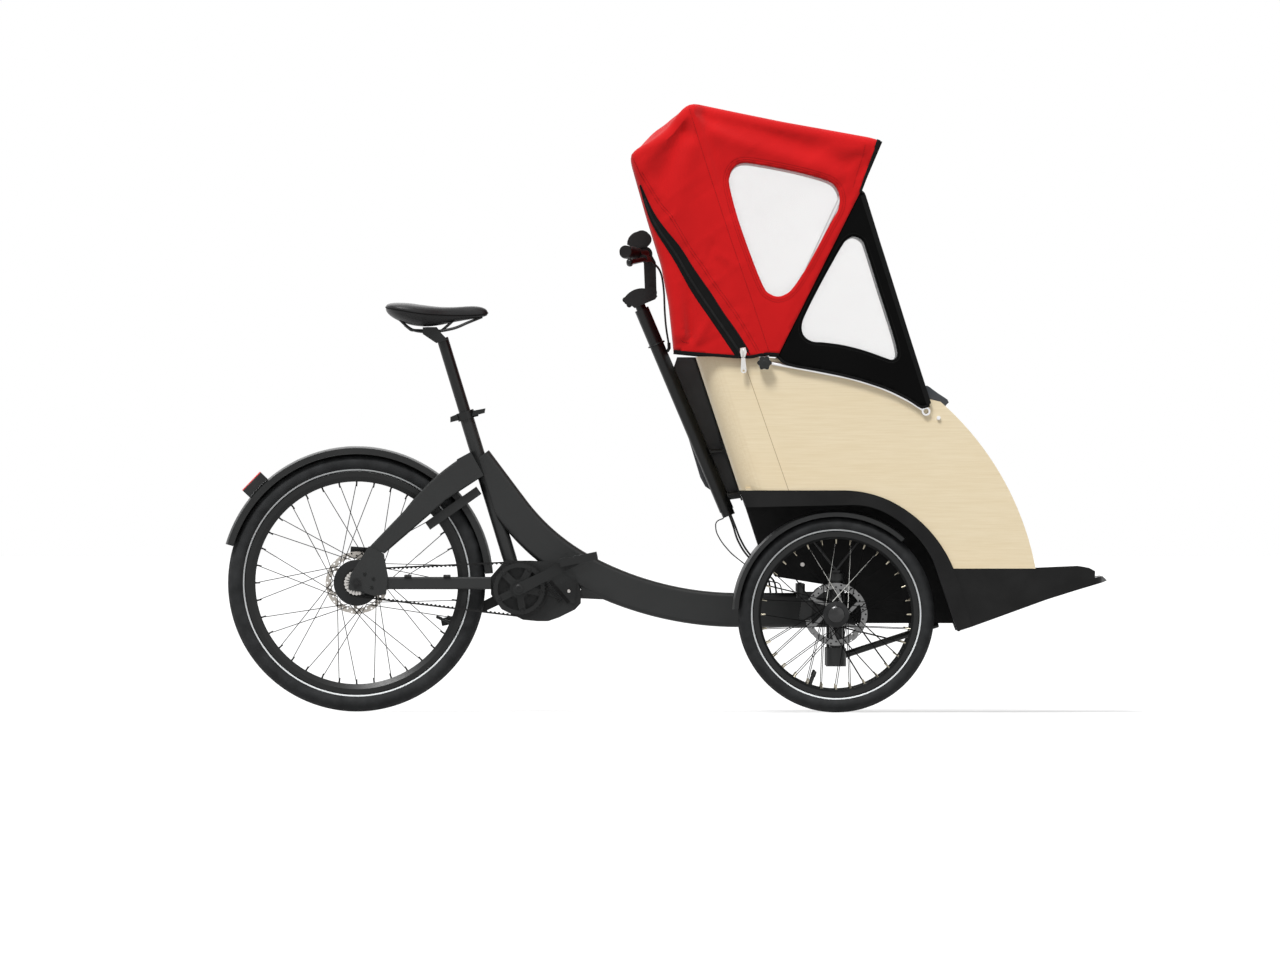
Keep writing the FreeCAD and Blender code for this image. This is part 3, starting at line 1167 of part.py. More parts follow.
# ---- hood --------------------------------------------------------------------------------
HOOD_SIDE = [(-91.0, 1417.0), (-73.0, 1438.0), (69.0, 1552.0), (524.0, 1465.0), (508.0, 1362.0),
             (494.0, 1324.0), (288.0, 908.0), (189.0, 900.0), (21.0, 918.0), (7.0, 1043.0), (-12.0, 1142.0),
             (-51.0, 1269.0)]
HOOD_WINDOW = [(193.0, 1400.0), (310.0, 1386.0, 419.0, 1354.0), (446.0, 1336.0, 439.0, 1290.0),
               (322.0, 1075.0), (284.0, 1056.0, 252.0, 1078.0), (160.0, 1354.0), (166.0, 1390.0, 193.0, 1400.0)]
WING = [(494.0, 1324.0), (508.0, 1323.0), (676.0, 783.0), (650.0, 772.0), (557.0, 828.0, 440.0, 862.0),
        (288.0, 890.0), (288.0, 908.0)]
WING_WINDOW = [(475.0, 1212.0), (500.0, 1206.0, 508.0, 1185.0), (589.0, 930.0), (588.0, 900.0, 566.0, 903.0),
               (480.0, 932.0, 372.0, 944.0), (345.0, 965.0, 350.0, 1005.0), (448.0, 1195.0),
               (458.0, 1209.0, 475.0, 1212.0)]
REAR_FILM_MARGIN = 17.0   # cloth left at both ends of the clear strip behind the roof
REAR_FILM_HALF = 330.0


def hood_wedge(inset):
    """The hood's cross-section carried along the vehicle: upright at the hem, leaning in above."""
    low, high = HOOD_HALF_BASE - inset, HOOD_HALF_TOP - inset
    corners = [V(-200, -low, 700), V(-200, -low, HOOD_BASE_Z), V(-200, -high, HOOD_TOP_Z),
               V(-200, high, HOOD_TOP_Z), V(-200, low, HOOD_BASE_Z), V(-200, low, 700)]
    return Part.Face(Part.makePolygon(corners + [corners[0]])).extrude(V(1000, 0, 0))


# The back of the hood stands in between its rear corners, where the handlebar turns behind it.
HOOD_RECESS = [(-130.0, 1340.0), (-66.0, 1340.0), (27.0, 1195.0), (27.0, 1100.0), (17.0, 955.0),
               (-130.0, 955.0)]
HOOD_RECESS_HALF = 300.0


def hood_recess(grown):
    """Room behind the hood for the turning handlebar, grown by a thickness on every side."""
    face = Part.Face(outline(HOOD_RECESS))
    if grown:
        face = face.makeOffset2D(grown)
    half = HOOD_RECESS_HALF + grown
    space = face.extrude(V(0, 2 * half, 0))
    space.translate(V(0, -half, 0))
    return space


def rear_film_ends():
    """Side-view ends of the clear strip between the rear bow and the roof's ridge."""
    low, high = HOOD_SIDE[1], HOOD_SIDE[2]
    return along(low, high, REAR_FILM_MARGIN), along(high, low, REAR_FILM_MARGIN)


def hood_cover():
    """Canvas over the bows: two sides, roof and recessed back, open in front and below."""
    blank = slab(HOOD_SIDE, -HOOD_SPAN, HOOD_SPAN)
    inner = Part.Face(outline(HOOD_SIDE)).makeOffset2D(-CLOTH_T).extrude(V(0, 2 * HOOD_SPAN, 0))
    inner.translate(V(0, -HOOD_SPAN, 0))
    ahead = inner.copy()
    ahead.translate(V(6, 0, -6))
    outer = blank.common(hood_wedge(0)).cut(hood_recess(0))
    hollow = inner.fuse(ahead).common(hood_wedge(CLOTH_T)).cut(hood_recess(CLOTH_T))
    cover = outer.cut(hollow)
    side_windows = slab(HOOD_WINDOW, -HOOD_SPAN, HOOD_SPAN)
    start, end = rear_film_ends()
    rear_window = slab(strip(start, end, -30, 30), -REAR_FILM_HALF, REAR_FILM_HALF)
    return cover.cut([side_windows, rear_window])


def side_skins(points, inset, thickness):
    """A side-view outline cut from both leaning walls of the hood, as two thin skins."""
    band = hood_wedge(inset).cut(hood_wedge(inset + thickness))
    return slab(points, -HOOD_SPAN, HOOD_SPAN).common(band)


def hood_wings():
    return side_skins(WING, 0, CLOTH_T).cut(slab(WING_WINDOW, -HOOD_SPAN, HOOD_SPAN))


def hood_films():
    """Clear film in the four side windows and the rear roof window."""
    inset = (CLOTH_T - FILM_T) / 2
    films = [side_skins(HOOD_WINDOW, inset, FILM_T), side_skins(WING_WINDOW, inset, FILM_T)]
    start, end = rear_film_ends()
    near, far = along(start, end, SEAT_GAP), along(end, start, SEAT_GAP)
    half = REAR_FILM_HALF - SEAT_GAP
    return films + [slab(strip(near, far, -inset, -inset - FILM_T), -half, half)]


BOWS = [(-79.0, 1409.0), (68.0, 1540.0), (513.0, 1454.0)]


def hood_bows():
    """Three hoops with narrowed ends that meet at one pivot on each side."""
    made = []
    for x, z in BOWS:
        lean = (HOOD_HALF_BASE - HOOD_HALF_TOP) / (HOOD_TOP_Z - HOOD_BASE_Z)
        inset = CLOTH_T + 0.3 + BOW_R
        low_x, low_z = along(HOOD_PIVOT, (x, z), 30)
        low_y = HOOD_HALF_BASE - inset - max(0.0, low_z - HOOD_BASE_Z) * lean
        top_y = HOOD_HALF_BASE - inset - (z - HOOD_BASE_Z) * lean
        path = [(low_x, -low_y, low_z), (x, -top_y, z), (x, top_y, z), (low_x, low_y, low_z)]
        made.append(bent_tube(path, BOW_R, 45))
        for _, sign in SIDES:
            made.append(rod((HOOD_PIVOT[0], sign * low_y, HOOD_PIVOT[1]), (low_x, sign * low_y, low_z), BOW_R - 2))
    x, z = HOOD_PIVOT
    for _, sign in SIDES:
        made.append(rod((x, sign * (CABIN_HALF + SEAT_GAP), z), (x, sign * (HOOD_HALF_BASE - CLOTH_T - 1), z), 16))
    return fuse(made)


def hood_rail():
    """Round rail on the outer face of each side panel, which holds the wing's hem, with the ring
    at its front end and the stud in front of that."""
    made = []
    for _, sign in SIDES:
        face = sign * (CABIN_HALF + SEAT_GAP)
        y = face + sign * RAIL_R
        rail = bent_tube([(270, y, 890), (353, y, 875), (470, y, 852.5), (557, y, 826), (624, y, 792),
                          (655, y, 771)], RAIL_R, 400)
        x, z = RAIL_END
        ring = tube((x, face, z), (x, face + sign * 2 * RAIL_R, z), 11, 6.5)
        made.append(fuse([rail, ring]).cut(rod((x, face - 20, z), (x, face + 20, z), 6.5)))
        made.append(rod((695, face, 751), (695, face + sign * 6, 751), 5))
    return Part.makeCompound(made)


def hood_knobs():
    x, z = HOOD_PIVOT
    made = []
    for _, sign in SIDES:
        made.append(rod((x, sign * (HOOD_HALF_BASE + 0.2), z), (x, sign * (HOOD_HALF_BASE + 15), z), 19))
    return Part.makeCompound(made)


# ---- pieces on the rear wheel's guard ---------------------------------------------------------
def ring_lock():
    """Horseshoe lock under the stays: two legs astride the wheel, joined outside the guard."""
    near, far = polar(REAR_AXLE, 232, LOCK_ANGLE), polar(REAR_AXLE, 392, LOCK_ANGLE)
    body = slab(strip(near, far, 3.8, 26.8), -48, 48)
    x, z = REAR_AXLE
    gap = rod((x, -32.5, z), (x, 32.5, z), REAR_GUARD_R + SEAT_GAP)
    return body.cut([gap, seat_stays()])


def tail_light():
    """Lamp on the guard's rear, and the bracket foot it stands on."""
    x, z = REAR_AXLE
    base = polar(REAR_AXLE, REAR_GUARD_R - 6, 136)
    crown = polar(REAR_AXLE, REAR_GUARD_R + 26, 136)
    lamp = slab(strip(base, crown, -33, 33), -22, 22)
    lamp = lamp.makeFillet(6.0, long_edges(lamp, AXIS_Y, 60))
    return lamp.cut(rod((x, -60, z), (x, 60, z), REAR_GUARD_R + SEAT_GAP))


# ---- nodes -----------------------------------------------------------------------------------
def both_sides(make):
    """The right and the left copy of a piece, as one node."""
    return Part.makeCompound([make(sign) for _, sign in SIDES])


def rear_wheel_nodes():
    hub = [rear_hub(), rotor(REAR_AXLE, REAR_ROTOR_Y, REAR_ROTOR_SEAT_R),
           spokes(REAR_AXLE, 0, REAR_SPOKES, REAR_FLANGE_R, REAR_FLANGE_Y, REAR_RIM_INNER_R, REAR_SPOKE_SWEEP)]
    return {
        "rear_tyre": tyre(REAR_AXLE, 0, REAR_TYRE_R, REAR_TYRE_W, REAR_RIM_R),
        "rear_rim": rim(REAR_AXLE, 0, REAR_RIM_R, REAR_RIM_INNER_R),
        "rear_hub": Part.makeCompound(hub),
        "rear_sprocket": sprocket(),
    }


def front_corner_nodes(side, sign):
    """Pedal, steered knuckle, mudguard and wheel of one side."""
    y = sign * HALF_TRACK
    rotor_y = sign * (HALF_TRACK - FRONT_ROTOR_INSET)
    brake = caliper(FRONT_AXLE, 171, rotor_y, 26, sign * 339.5, sign * 360)
    hub = [front_hub(sign), rotor(FRONT_AXLE, rotor_y, FRONT_ROTOR_SEAT_R),
           spokes(FRONT_AXLE, y, FRONT_SPOKES, FRONT_FLANGE_R, FRONT_FLANGE_Y, FRONT_RIM_INNER_R,
                  FRONT_SPOKE_SWEEP)]
    return {
        "pedal_" + side: pedal(sign),
        "knuckle_" + side: Part.makeCompound([knuckle(sign), guard_stays(sign), brake]),
        "front_mudguard_" + side: guard(FRONT_AXLE, y, FRONT_GUARD_R, FRONT_GUARD_W, FRONT_GUARD_SKIRT,
                                         FRONT_GUARD_ANGLES),
        "front_tyre_" + side: tyre(FRONT_AXLE, y, FRONT_TYRE_R, FRONT_TYRE_W, FRONT_RIM_R),
        "front_rim_" + side: rim(FRONT_AXLE, y, FRONT_RIM_R, FRONT_RIM_INNER_R),
        "front_hub_" + side: Part.makeCompound(hub),
    }


def nodes():
    """Every sub-part by its node name."""
    made = {
        "main_beam": main_beam(),
        "beam_front": beam_front(),
        "seat_tube": seat_tube(),
        "seat_post": seat_post(),
        "saddle": saddle(),
        "seat_stays": seat_stays(),
        "chain_stays": chain_stays(),
        "rear_axle": rear_axle(),
        "drive_motor": drive_motor(),
        "belt": belt_loop(BELT_GAP, BELT_GAP + BELT_T),
        "rear_mudguard": guard(REAR_AXLE, 0, REAR_GUARD_R, REAR_GUARD_W, REAR_GUARD_SKIRT,
                               REAR_GUARD_ANGLES),
        "tail_light": tail_light(),
        "ring_lock": ring_lock(),
        "rear_caliper": caliper(REAR_AXLE, 86, REAR_ROTOR_Y, 22, 35, DROPOUT_Y[0]),
        "chainring": chainring(),
        "cranks": cranks(),
        "axle_beam": axle_beam(),
        "floor_frame": floor_frame(),
        "tie_rod": tie_rod(),
        "steering_column": steering_column(),
        "column_cables": column_cables(),
        "stem": stem(),
        "handlebar": handlebar(),
        "grips": both_sides(grip),
        "brake_levers": both_sides(brake_lever),
        "bar_hoses": bar_hoses(),
        "display": display(),
        "cabin_rear": cabin_rear(),
        "cabin_sides": both_sides(cabin_side),
        "cabin_floor": cabin_floor(),
        "seat_box": seat_box(),
        "wheel_wells": both_sides(wheel_well),
        "bench": bench(),
        "seat_cushion": seat_cushion(),
        "back_cushion": back_cushion(),
        "armrest_pads": armrest_pads(),
        "foot_scoop": foot_scoop(),
        "battery": battery(),
        "hood_cover": hood_cover(),
        "hood_wings": hood_wings(),
        "hood_windows": Part.makeCompound(hood_films()),
        "hood_bows": hood_bows(),
        "hood_rail": hood_rail(),
        "hood_knobs": hood_knobs(),
    }
    made.update(rear_wheel_nodes())
    for side, sign in SIDES:
        made.update(front_corner_nodes(side, sign))
    return made


def export(shapes):
    os.makedirs("parts", exist_ok=True)
    for name, shape in shapes.items():
        bounds = shape.optimalBoundingBox(False)
        print("%-22s solids %3d volume %10.0f  x %8.1f %8.1f  y %7.1f %7.1f  z %7.1f %7.1f%s" % (
            name, len(shape.Solids), shape.Volume, bounds.XMin, bounds.XMax, bounds.YMin, bounds.YMax,
            bounds.ZMin, bounds.ZMax, "" if shape.isValid() else "  NOT VALID"))
        shape.exportStep("parts/%s.step" % name)


export(nodes())
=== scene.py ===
# Looks of the passenger tricycle: finishes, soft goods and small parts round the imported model.
# Metres in the scene, millimetres in the outlines. +X is forward, +Y the left side, +Z up.
import bpy
import bmesh
import json
import math
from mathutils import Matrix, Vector
from mathutils.geometry import delaunay_2d_cdt


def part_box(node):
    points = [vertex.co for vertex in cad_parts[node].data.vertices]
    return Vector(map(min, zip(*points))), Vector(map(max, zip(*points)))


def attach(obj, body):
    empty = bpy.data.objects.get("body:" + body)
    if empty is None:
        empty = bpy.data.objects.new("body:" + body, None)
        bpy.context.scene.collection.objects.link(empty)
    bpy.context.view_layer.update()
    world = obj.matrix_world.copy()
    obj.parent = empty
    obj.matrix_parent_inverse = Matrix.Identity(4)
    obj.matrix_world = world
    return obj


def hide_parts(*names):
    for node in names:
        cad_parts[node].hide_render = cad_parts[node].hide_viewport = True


MM = 0.001
SIDES = (("right", -1), ("left", 1))
WHITE = (1, 1, 1, 1)

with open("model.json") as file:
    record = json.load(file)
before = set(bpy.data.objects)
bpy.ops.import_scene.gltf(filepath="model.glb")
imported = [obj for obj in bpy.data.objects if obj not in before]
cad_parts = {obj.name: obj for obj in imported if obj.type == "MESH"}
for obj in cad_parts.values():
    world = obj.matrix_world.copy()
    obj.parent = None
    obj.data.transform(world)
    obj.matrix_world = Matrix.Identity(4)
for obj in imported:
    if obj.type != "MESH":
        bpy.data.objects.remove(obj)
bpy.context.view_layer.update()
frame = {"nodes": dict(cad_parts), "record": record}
nodes = frame["nodes"]


def new_node(tree, kind, sources=(), operation=None, **values):
    """A shader node; sources fill its inputs in order, each a number or another node's output."""
    made = tree.nodes.new("ShaderNode" + kind)
    if operation:
        made.operation = operation
    for name, value in values.items():
        made.inputs[name].default_value = value
    for socket, source in zip(made.inputs, sources):
        if isinstance(source, bpy.types.NodeSocket):
            tree.links.new(source, socket)
        elif source is not None:
            socket.default_value = source
    return made


# ---- camera, light and floor ---------------------------------------------------------------
CAMERA_AT = (-0.066, -100.0, 0.5926)
CAMERA_LENS = 1099.0         # millimetres on a 36 mm sensor
FLOOR_GLOW = 0.62            # how far the floor is plain white where the camera sees it
FLOOR_BOUNCE_CUT = 0.55      # how much of the floor's light on the object's underside is taken off
SKY_LOW = (0.16, 0.16, 0.16, 1)
SUNS = (     # name, aim, width in degrees and strength
    ("key", (0.30, 0.62, -1.0), 16, 2.7), ("fill", (-0.8, 1.0, -0.3), 60, 0.4),
    ("top", (0.1, -0.15, -1.0), 60, 0.6), ("back", (0.1, -1.0, -0.7), 50, 1.0),
)


def add_to_scene(name, data):
    made = bpy.data.objects.new(name, data)
    bpy.context.scene.collection.objects.link(made)
    return made


def make_camera():
    data = bpy.data.cameras.new("camera")
    data.lens = CAMERA_LENS
    data.sensor_width = 36.0
    data.clip_end = 600.0
    camera = add_to_scene("camera", data)
    camera.location = CAMERA_AT
    camera.rotation_euler = (math.radians(90), 0, 0)
    bpy.context.scene.camera = camera


def make_suns():
    for name, aim, spread, power in SUNS:
        data = bpy.data.lights.new(name, "SUN")
        data.angle = math.radians(spread)
        data.energy = power
        light = add_to_scene(name, data)
        light.rotation_euler = Vector(aim).to_track_quat("-Z", "Y").to_euler()


def seen_rays(tree):
    """1 for camera, glossy and transmission rays, which see the backdrop as plain white."""
    rays = new_node(tree, "LightPath").outputs
    total = rays["Is Camera Ray"]
    for name in ("Is Glossy Ray", "Is Transmission Ray"):
        total = new_node(tree, "Math", (total, rays[name]), "MAXIMUM").outputs[0]
    return total


def make_world():
    """A soft sky, brighter overhead, that shows as plain white behind the object."""
    world = bpy.data.worlds.new("studio")
    bpy.context.scene.world = world
    world.use_nodes = True
    tree = world.node_tree
    tree.nodes.clear()
    place = new_node(tree, "TexCoord").outputs["Generated"]
    sky = new_node(tree, "ValToRGB", [new_node(tree, "SeparateXYZ", [place]).outputs["Z"]])
    for element, colour in zip(sky.color_ramp.elements, (SKY_LOW, WHITE)):
        element.color = colour
    soft = new_node(tree, "Background", [sky.outputs[0]], Strength=0.75)
    white = new_node(tree, "Background", Color=WHITE, Strength=1.0)
    mix = new_node(tree, "MixShader", (seen_rays(tree), soft.outputs[0], white.outputs[0]))
    new_node(tree, "OutputWorld", [mix.outputs[0]])


def make_floor():
    """A white floor that keeps the soft shadow under the vehicle."""
    bpy.ops.mesh.primitive_plane_add(size=400, location=(0, 0, 0))
    floor = bpy.context.object
    floor.name = "studio_floor"
    material = bpy.data.materials.new("pale_floor")
    material.use_nodes = True
    tree = material.node_tree
    shader = tree.nodes["Principled BSDF"]
    for socket, value in (("Base Color", (0.9, 0.9, 0.9, 1)), ("Roughness", 0.9), ("Specular IOR Level", 0.0)):
        shader.inputs[socket].default_value = value
    white = new_node(tree, "Emission", Strength=1.0)
    share = new_node(tree, "Math", (seen_rays(tree), FLOOR_GLOW), "MULTIPLY")
    seen = new_node(tree, "MixShader", (share.outputs[0], shader.outputs[0], white.outputs[0]))
    dark = new_node(tree, "Emission", Color=(0, 0, 0, 1))
    diffuse = new_node(tree, "LightPath").outputs["Is Diffuse Ray"]
    dim = new_node(tree, "Math", (diffuse, FLOOR_BOUNCE_CUT), "MULTIPLY")
    bounce = new_node(tree, "MixShader", (dim.outputs[0], seen.outputs[0], dark.outputs[0]))
    tree.links.new(bounce.outputs[0], tree.nodes["Material Output"].inputs["Surface"])
    floor.data.materials.append(material)


# ---- materials -----------------------------------------------------------------------------
def linear(*display):
    """Scene-linear colour of display values from 0 to 255."""
    shares = [value / 255.0 for value in display]
    return tuple(s / 12.92 if s <= 0.04045 else ((s + 0.055) / 1.055) ** 2.4 for s in shares) + (1.0,)


class Finish:
    """A Principled material and short ways to drive its colour, roughness and bump."""

    def __init__(self, name, colour, roughness, metallic=0.0, specular=0.5):
        self.material = bpy.data.materials.new(name)
        self.material.use_nodes = True
        self.tree = self.material.node_tree
        self.shader = self.tree.nodes["Principled BSDF"]
        self.set("Base Color", colour)
        self.set("Roughness", roughness)
        self.set("Metallic", metallic)
        self.set("Specular IOR Level", specular)
        self.place = self.new("TexCoord").outputs["Object"]
        self.height = None

    def new(self, kind, sources=(), operation=None, **values):
        return new_node(self.tree, kind, sources, operation, **values)

    def set(self, socket, value):
        self.shader.inputs[socket].default_value = value

    def drive(self, socket, source):
        self.tree.links.new(source, self.shader.inputs[socket])

    def stretched(self, scale):
        return self.new("Mapping", [self.place], Scale=scale).outputs[0]

    def noise(self, scale, detail=3.0, vector=None, roughness=0.5):
        values = {"Scale": scale, "Detail": detail, "Roughness": roughness}
        return self.new("TexNoise", [vector or self.place], **values).outputs["Fac"]

    def ramp(self, source, low, high, start=0.3, end=0.7):
        node = self.new("ValToRGB", [source])
        for element, position, colour in zip(node.color_ramp.elements, (start, end), (low, high)):
            element.position, element.color = position, colour
        return node.outputs[0]

    def spread(self, source, low, high):
        return self.new("MapRange", [source], **{"To Min": low, "To Max": high}).outputs[0]

    def math(self, operation, first, second=None):
        return self.new("Math", (first, second), operation).outputs[0]

    def waves(self, source, frequency):
        return self.math("SINE", self.math("MULTIPLY", source, frequency))

    def mix(self, share, low, high):
        node = self.new("Mix")
        node.data_type = "RGBA"
        self.tree.links.new(share, node.inputs["Factor"])
        for socket, value in zip([s for s in node.inputs if s.type == "RGBA"], (low, high)):
            if isinstance(value, tuple):
                socket.default_value = value
            else:
                self.tree.links.new(value, socket)
        return [s for s in node.outputs if s.type == "RGBA"][0]

    def parts(self):
        return self.new("SeparateXYZ", [self.place]).outputs

    def roughness_by(self, source, low, high):
        self.drive("Roughness", self.spread(source, low, high))

    def bump(self, source, distance, strength=1.0):
        node = self.new("Bump", Distance=distance, Strength=strength)
        self.tree.links.new(source, node.inputs["Height"])
        if self.height is not None:
            self.tree.links.new(self.height, node.inputs["Normal"])
        self.height = node.outputs[0]
        self.drive("Normal", self.height)


def toned(colour, factor, lift=0.0):
    return tuple(factor * c + lift for c in colour[:3]) + (1.0,)


def painted(name, colour, roughness, grain=900.0, depth=0.00012, specular=0.28):
    """Powder coat or satin anodising: a fine even grain and a little cloudiness."""
    made = Finish(name, colour, roughness, specular=specular)
    made.drive("Base Color", made.ramp(made.noise(9.0, 2.0), toned(colour, 0.86), colour))
    made.roughness_by(made.noise(60.0, 4.0), roughness - 0.07, roughness + 0.07)
    made.bump(made.noise(grain, 2.0), depth)
    return made.material


def moulded(name, colour, roughness, specular=0.3):
    """Moulded plastic with a fine leathery texture."""
    made = Finish(name, colour, roughness, specular=specular)
    cells = made.new("TexVoronoi", [made.place], Scale=700.0)
    made.bump(cells.outputs["Distance"], 0.00015, 0.7)
    made.drive("Base Color", made.ramp(made.noise(14.0, 3.0), colour, toned(colour, 1.3, 0.004)))
    made.roughness_by(made.noise(40.0, 3.0), roughness - 0.06, roughness + 0.08)
    return made.material


def brushed(name, colour, roughness):
    """Bare metal with fine lines across the vehicle."""
    made = Finish(name, colour, roughness, metallic=1.0)
    lines = made.noise(30.0, 4.0, made.stretched((1.0, 40.0, 1.0)))
    made.roughness_by(lines, roughness - 0.08, roughness + 0.10)
    made.bump(lines, 0.00008, 0.6)
    return made.material


def rubber(name, colour):
    """Matt rubber with a little dust."""
    made = Finish(name, colour, 0.72, specular=0.2)
    made.drive("Base Color", made.ramp(made.noise(25.0, 4.0), colour, toned(colour, 1.5, 0.004)))
    made.bump(made.noise(600.0, 3.0), 0.0002, 0.6)
    return made.material


STRIPE_HALF = 0.0019         # half the width of a tyre's reflective ring, in metres


def tyre_finish(name, node, stripe_share):
    """Sidewall rubber with fine ribs and one thin reflective ring, set by the tyre's own box."""
    low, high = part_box(node)
    made = Finish(name, linear(30, 31, 32), 0.7, specular=0.2)
    place = made.parts()
    squares = []
    for axis, a, b in (("X", low.x, high.x), ("Z", low.z, high.z)):
        away = made.math("SUBTRACT", place[axis], (a + b) / 2)
        squares.append(made.math("MULTIPLY", away, away))
    radius = made.math("SQRT", made.math("ADD", *squares))
    ring = stripe_share * (high.z - low.z) / 2
    away = made.math("ABSOLUTE", made.math("SUBTRACT", radius, ring))
    stripe = made.math("LESS_THAN", away, STRIPE_HALF)
    dust = made.ramp(made.noise(30.0, 4.0), linear(24, 25, 26), linear(42, 43, 44))
    made.drive("Base Color", made.mix(stripe, dust, linear(222, 225, 226)))
    made.bump(made.waves(radius, 2600.0), 0.00018, 0.5)
    made.bump(made.noise(500.0, 3.0), 0.00015, 0.5)
    return made.material


JOINT_AT = (0.208, 0.867)          # a point of the side panels' joint, x and z in metres
JOINT_NORMAL = (0.9445, 0.3284)    # and the direction square to it
PLY_LAYER = 0.003


def plywood(name):
    """Lacquered birch: long faint grain along the vehicle and glued layers at the cut edges."""
    made = Finish(name, linear(226, 209, 176), 0.42, specular=0.3)
    grain = made.noise(7.0, 6.0, made.stretched((1.6, 30.0, 34.0)), 0.62)
    pale = made.ramp(grain, linear(219, 203, 170), linear(229, 216, 188), 0.25, 0.72)
    warm = made.noise(2.2, 2.0, made.stretched((1.0, 1.0, 2.4)))
    tinted = made.mix(made.spread(warm, 0.0, 0.3), pale, linear(222, 194, 148))
    place = made.parts()
    steps = [made.math("MULTIPLY", made.math("SUBTRACT", place[axis], at), share)
             for axis, at, share in zip("XZ", JOINT_AT, JOINT_NORMAL)]
    off = made.math("ABSOLUTE", made.math("ADD", *steps))
    tinted = made.mix(made.math("LESS_THAN", off, 0.0008), tinted, linear(172, 150, 118))
    dark = made.spread(made.waves(place["Y"], 2 * math.pi / PLY_LAYER), 0.0, 0.05)
    made.drive("Base Color", made.mix(dark, tinted, linear(176, 140, 92)))
    made.roughness_by(grain, 0.36, 0.5)
    made.bump(grain, 0.00012, 0.5)
    return made.material


def woven(name, colour, shade, roughness=0.85, threads=1500.0, sheen=0.12, specular=0.12):
    """Coated canvas or upholstery: a fine plain weave, soft colour changes and a little sheen."""
    made = Finish(name, colour, roughness, specular=specular)
    made.set("Sheen Weight", sheen)
    made.set("Sheen Roughness", 0.5)
    place = made.parts()
    warp = made.waves(made.math("ADD", place["X"], place["Y"]), threads)
    made.bump(made.math("MULTIPLY", warp, made.waves(place["Z"], threads)), 0.00012, 0.5)
    made.bump(made.noise(12.0, 3.0), 0.0008, 0.4)
    made.drive("Base Color", made.ramp(made.noise(5.0, 4.0), shade, colour, 0.25, 0.7))
    return made.material


def lens_finish(name):
    """Moulded red lens with close ribs and uneven depth of colour."""
    made = Finish(name, linear(196, 14, 16), 0.14)
    made.bump(made.waves(made.parts()["Y"], 2400.0), 0.0004, 0.7)
    made.drive("Base Color", made.ramp(made.noise(40.0, 2.0), linear(168, 8, 10), linear(216, 20, 22)))
    return made.material


def clear_film(name):
    """Flexible clear film: lets light and shadow rays through, with a slight gloss."""
    material = bpy.data.materials.new(name)
    material.use_nodes = True
    shader = material.node_tree.nodes["Principled BSDF"]
    for socket, value in (("Base Color", WHITE), ("Roughness", 0.08), ("IOR", 1.3), ("Alpha", 0.15)):
        shader.inputs[socket].default_value = value
    return material


# ---- mesh helpers, in millimetres; a mesh here is a pair of vertices and faces ------------------
def joined(meshes):
    vertices, faces = [], []
    for more_vertices, more_faces in meshes:
        base = len(vertices)
        vertices += [tuple(v) for v in more_vertices]
        faces += [tuple(i + base for i in f) for f in more_faces]
    return vertices, faces


def piece(name, meshes, material, body="frame"):
    """One object of all the meshes, that rides on a body."""
    vertices, faces = joined(meshes)
    mesh = bpy.data.meshes.new(name)
    mesh.from_pydata([tuple(MM * c for c in v) for v in vertices], [], faces)
    mesh.validate()
    mesh.materials.append(material)
    made = add_to_scene(name, mesh)
    work = bmesh.new()
    work.from_mesh(mesh)
    bmesh.ops.remove_doubles(work, verts=work.verts, dist=0.00002)
    bmesh.ops.recalc_face_normals(work, faces=work.faces)
    work.to_mesh(mesh)
    work.free()
    mesh.polygons.foreach_set("use_smooth", [True] * len(mesh.polygons))
    mesh.set_sharp_from_angle(angle=math.radians(38))
    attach(made, body)
    return made


def box_mm(node):
    return [[c / MM for c in corner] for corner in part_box(node)]


def apply_modifier(made, kind, **settings):
    modifier = made.modifiers.new(kind.lower(), kind)
    for key, value in settings.items():
        setattr(modifier, key, value)
    with bpy.context.temp_override(object=made, active_object=made, selected_objects=[made]):
        bpy.ops.object.modifier_apply(modifier=modifier.name)


def thicken(made, thickness):
    apply_modifier(made, "SOLIDIFY", thickness=thickness * MM, offset=-1.0)


def on_surface(made, point, lift=0.0):
    """The nearest point of a piece, raised by a lift in metres, in millimetres."""
    _, where, normal, _ = made.closest_point_on_mesh(Vector(point) * MM)
    return tuple((where + normal * lift) / MM)


def cross(low, high, share):
    return low + (high - low) * share


def between(a, b, share):
    """The point at a share of the way from one side-view point to another."""
    return cross(a[0], b[0], share), cross(a[1], b[1], share)


def smoothstep(value):
    value = min(1.0, max(0.0, value))
    return value * value * (3 - 2 * value)


def curved(points, steps=8, closed=False):
    """A smooth line through the points, any number of coordinates each."""
    count = len(points)
    made = []
    for index in range(count if closed else count - 1):
        places = [index + k for k in (-1, 0, 1, 2)]
        four = [points[i % count] if closed else points[min(count - 1, max(0, i))] for i in places]
        for step in range(steps):
            t = step / steps
            made.append(tuple(0.5 * (2 * b + (c - a) * t + (2 * a - 5 * b + 4 * c - d) * t * t
                                     + (3 * b - a - 3 * c + d) * t ** 3)
                              for a, b, c, d in zip(*four)))
    if not closed:
        made.append(tuple(points[-1]))
    return made


def running_lengths(line):
    lengths = [0.0]
    for a, b in zip(line, line[1:]):
        lengths.append(lengths[-1] + (b - a).length)
    return lengths


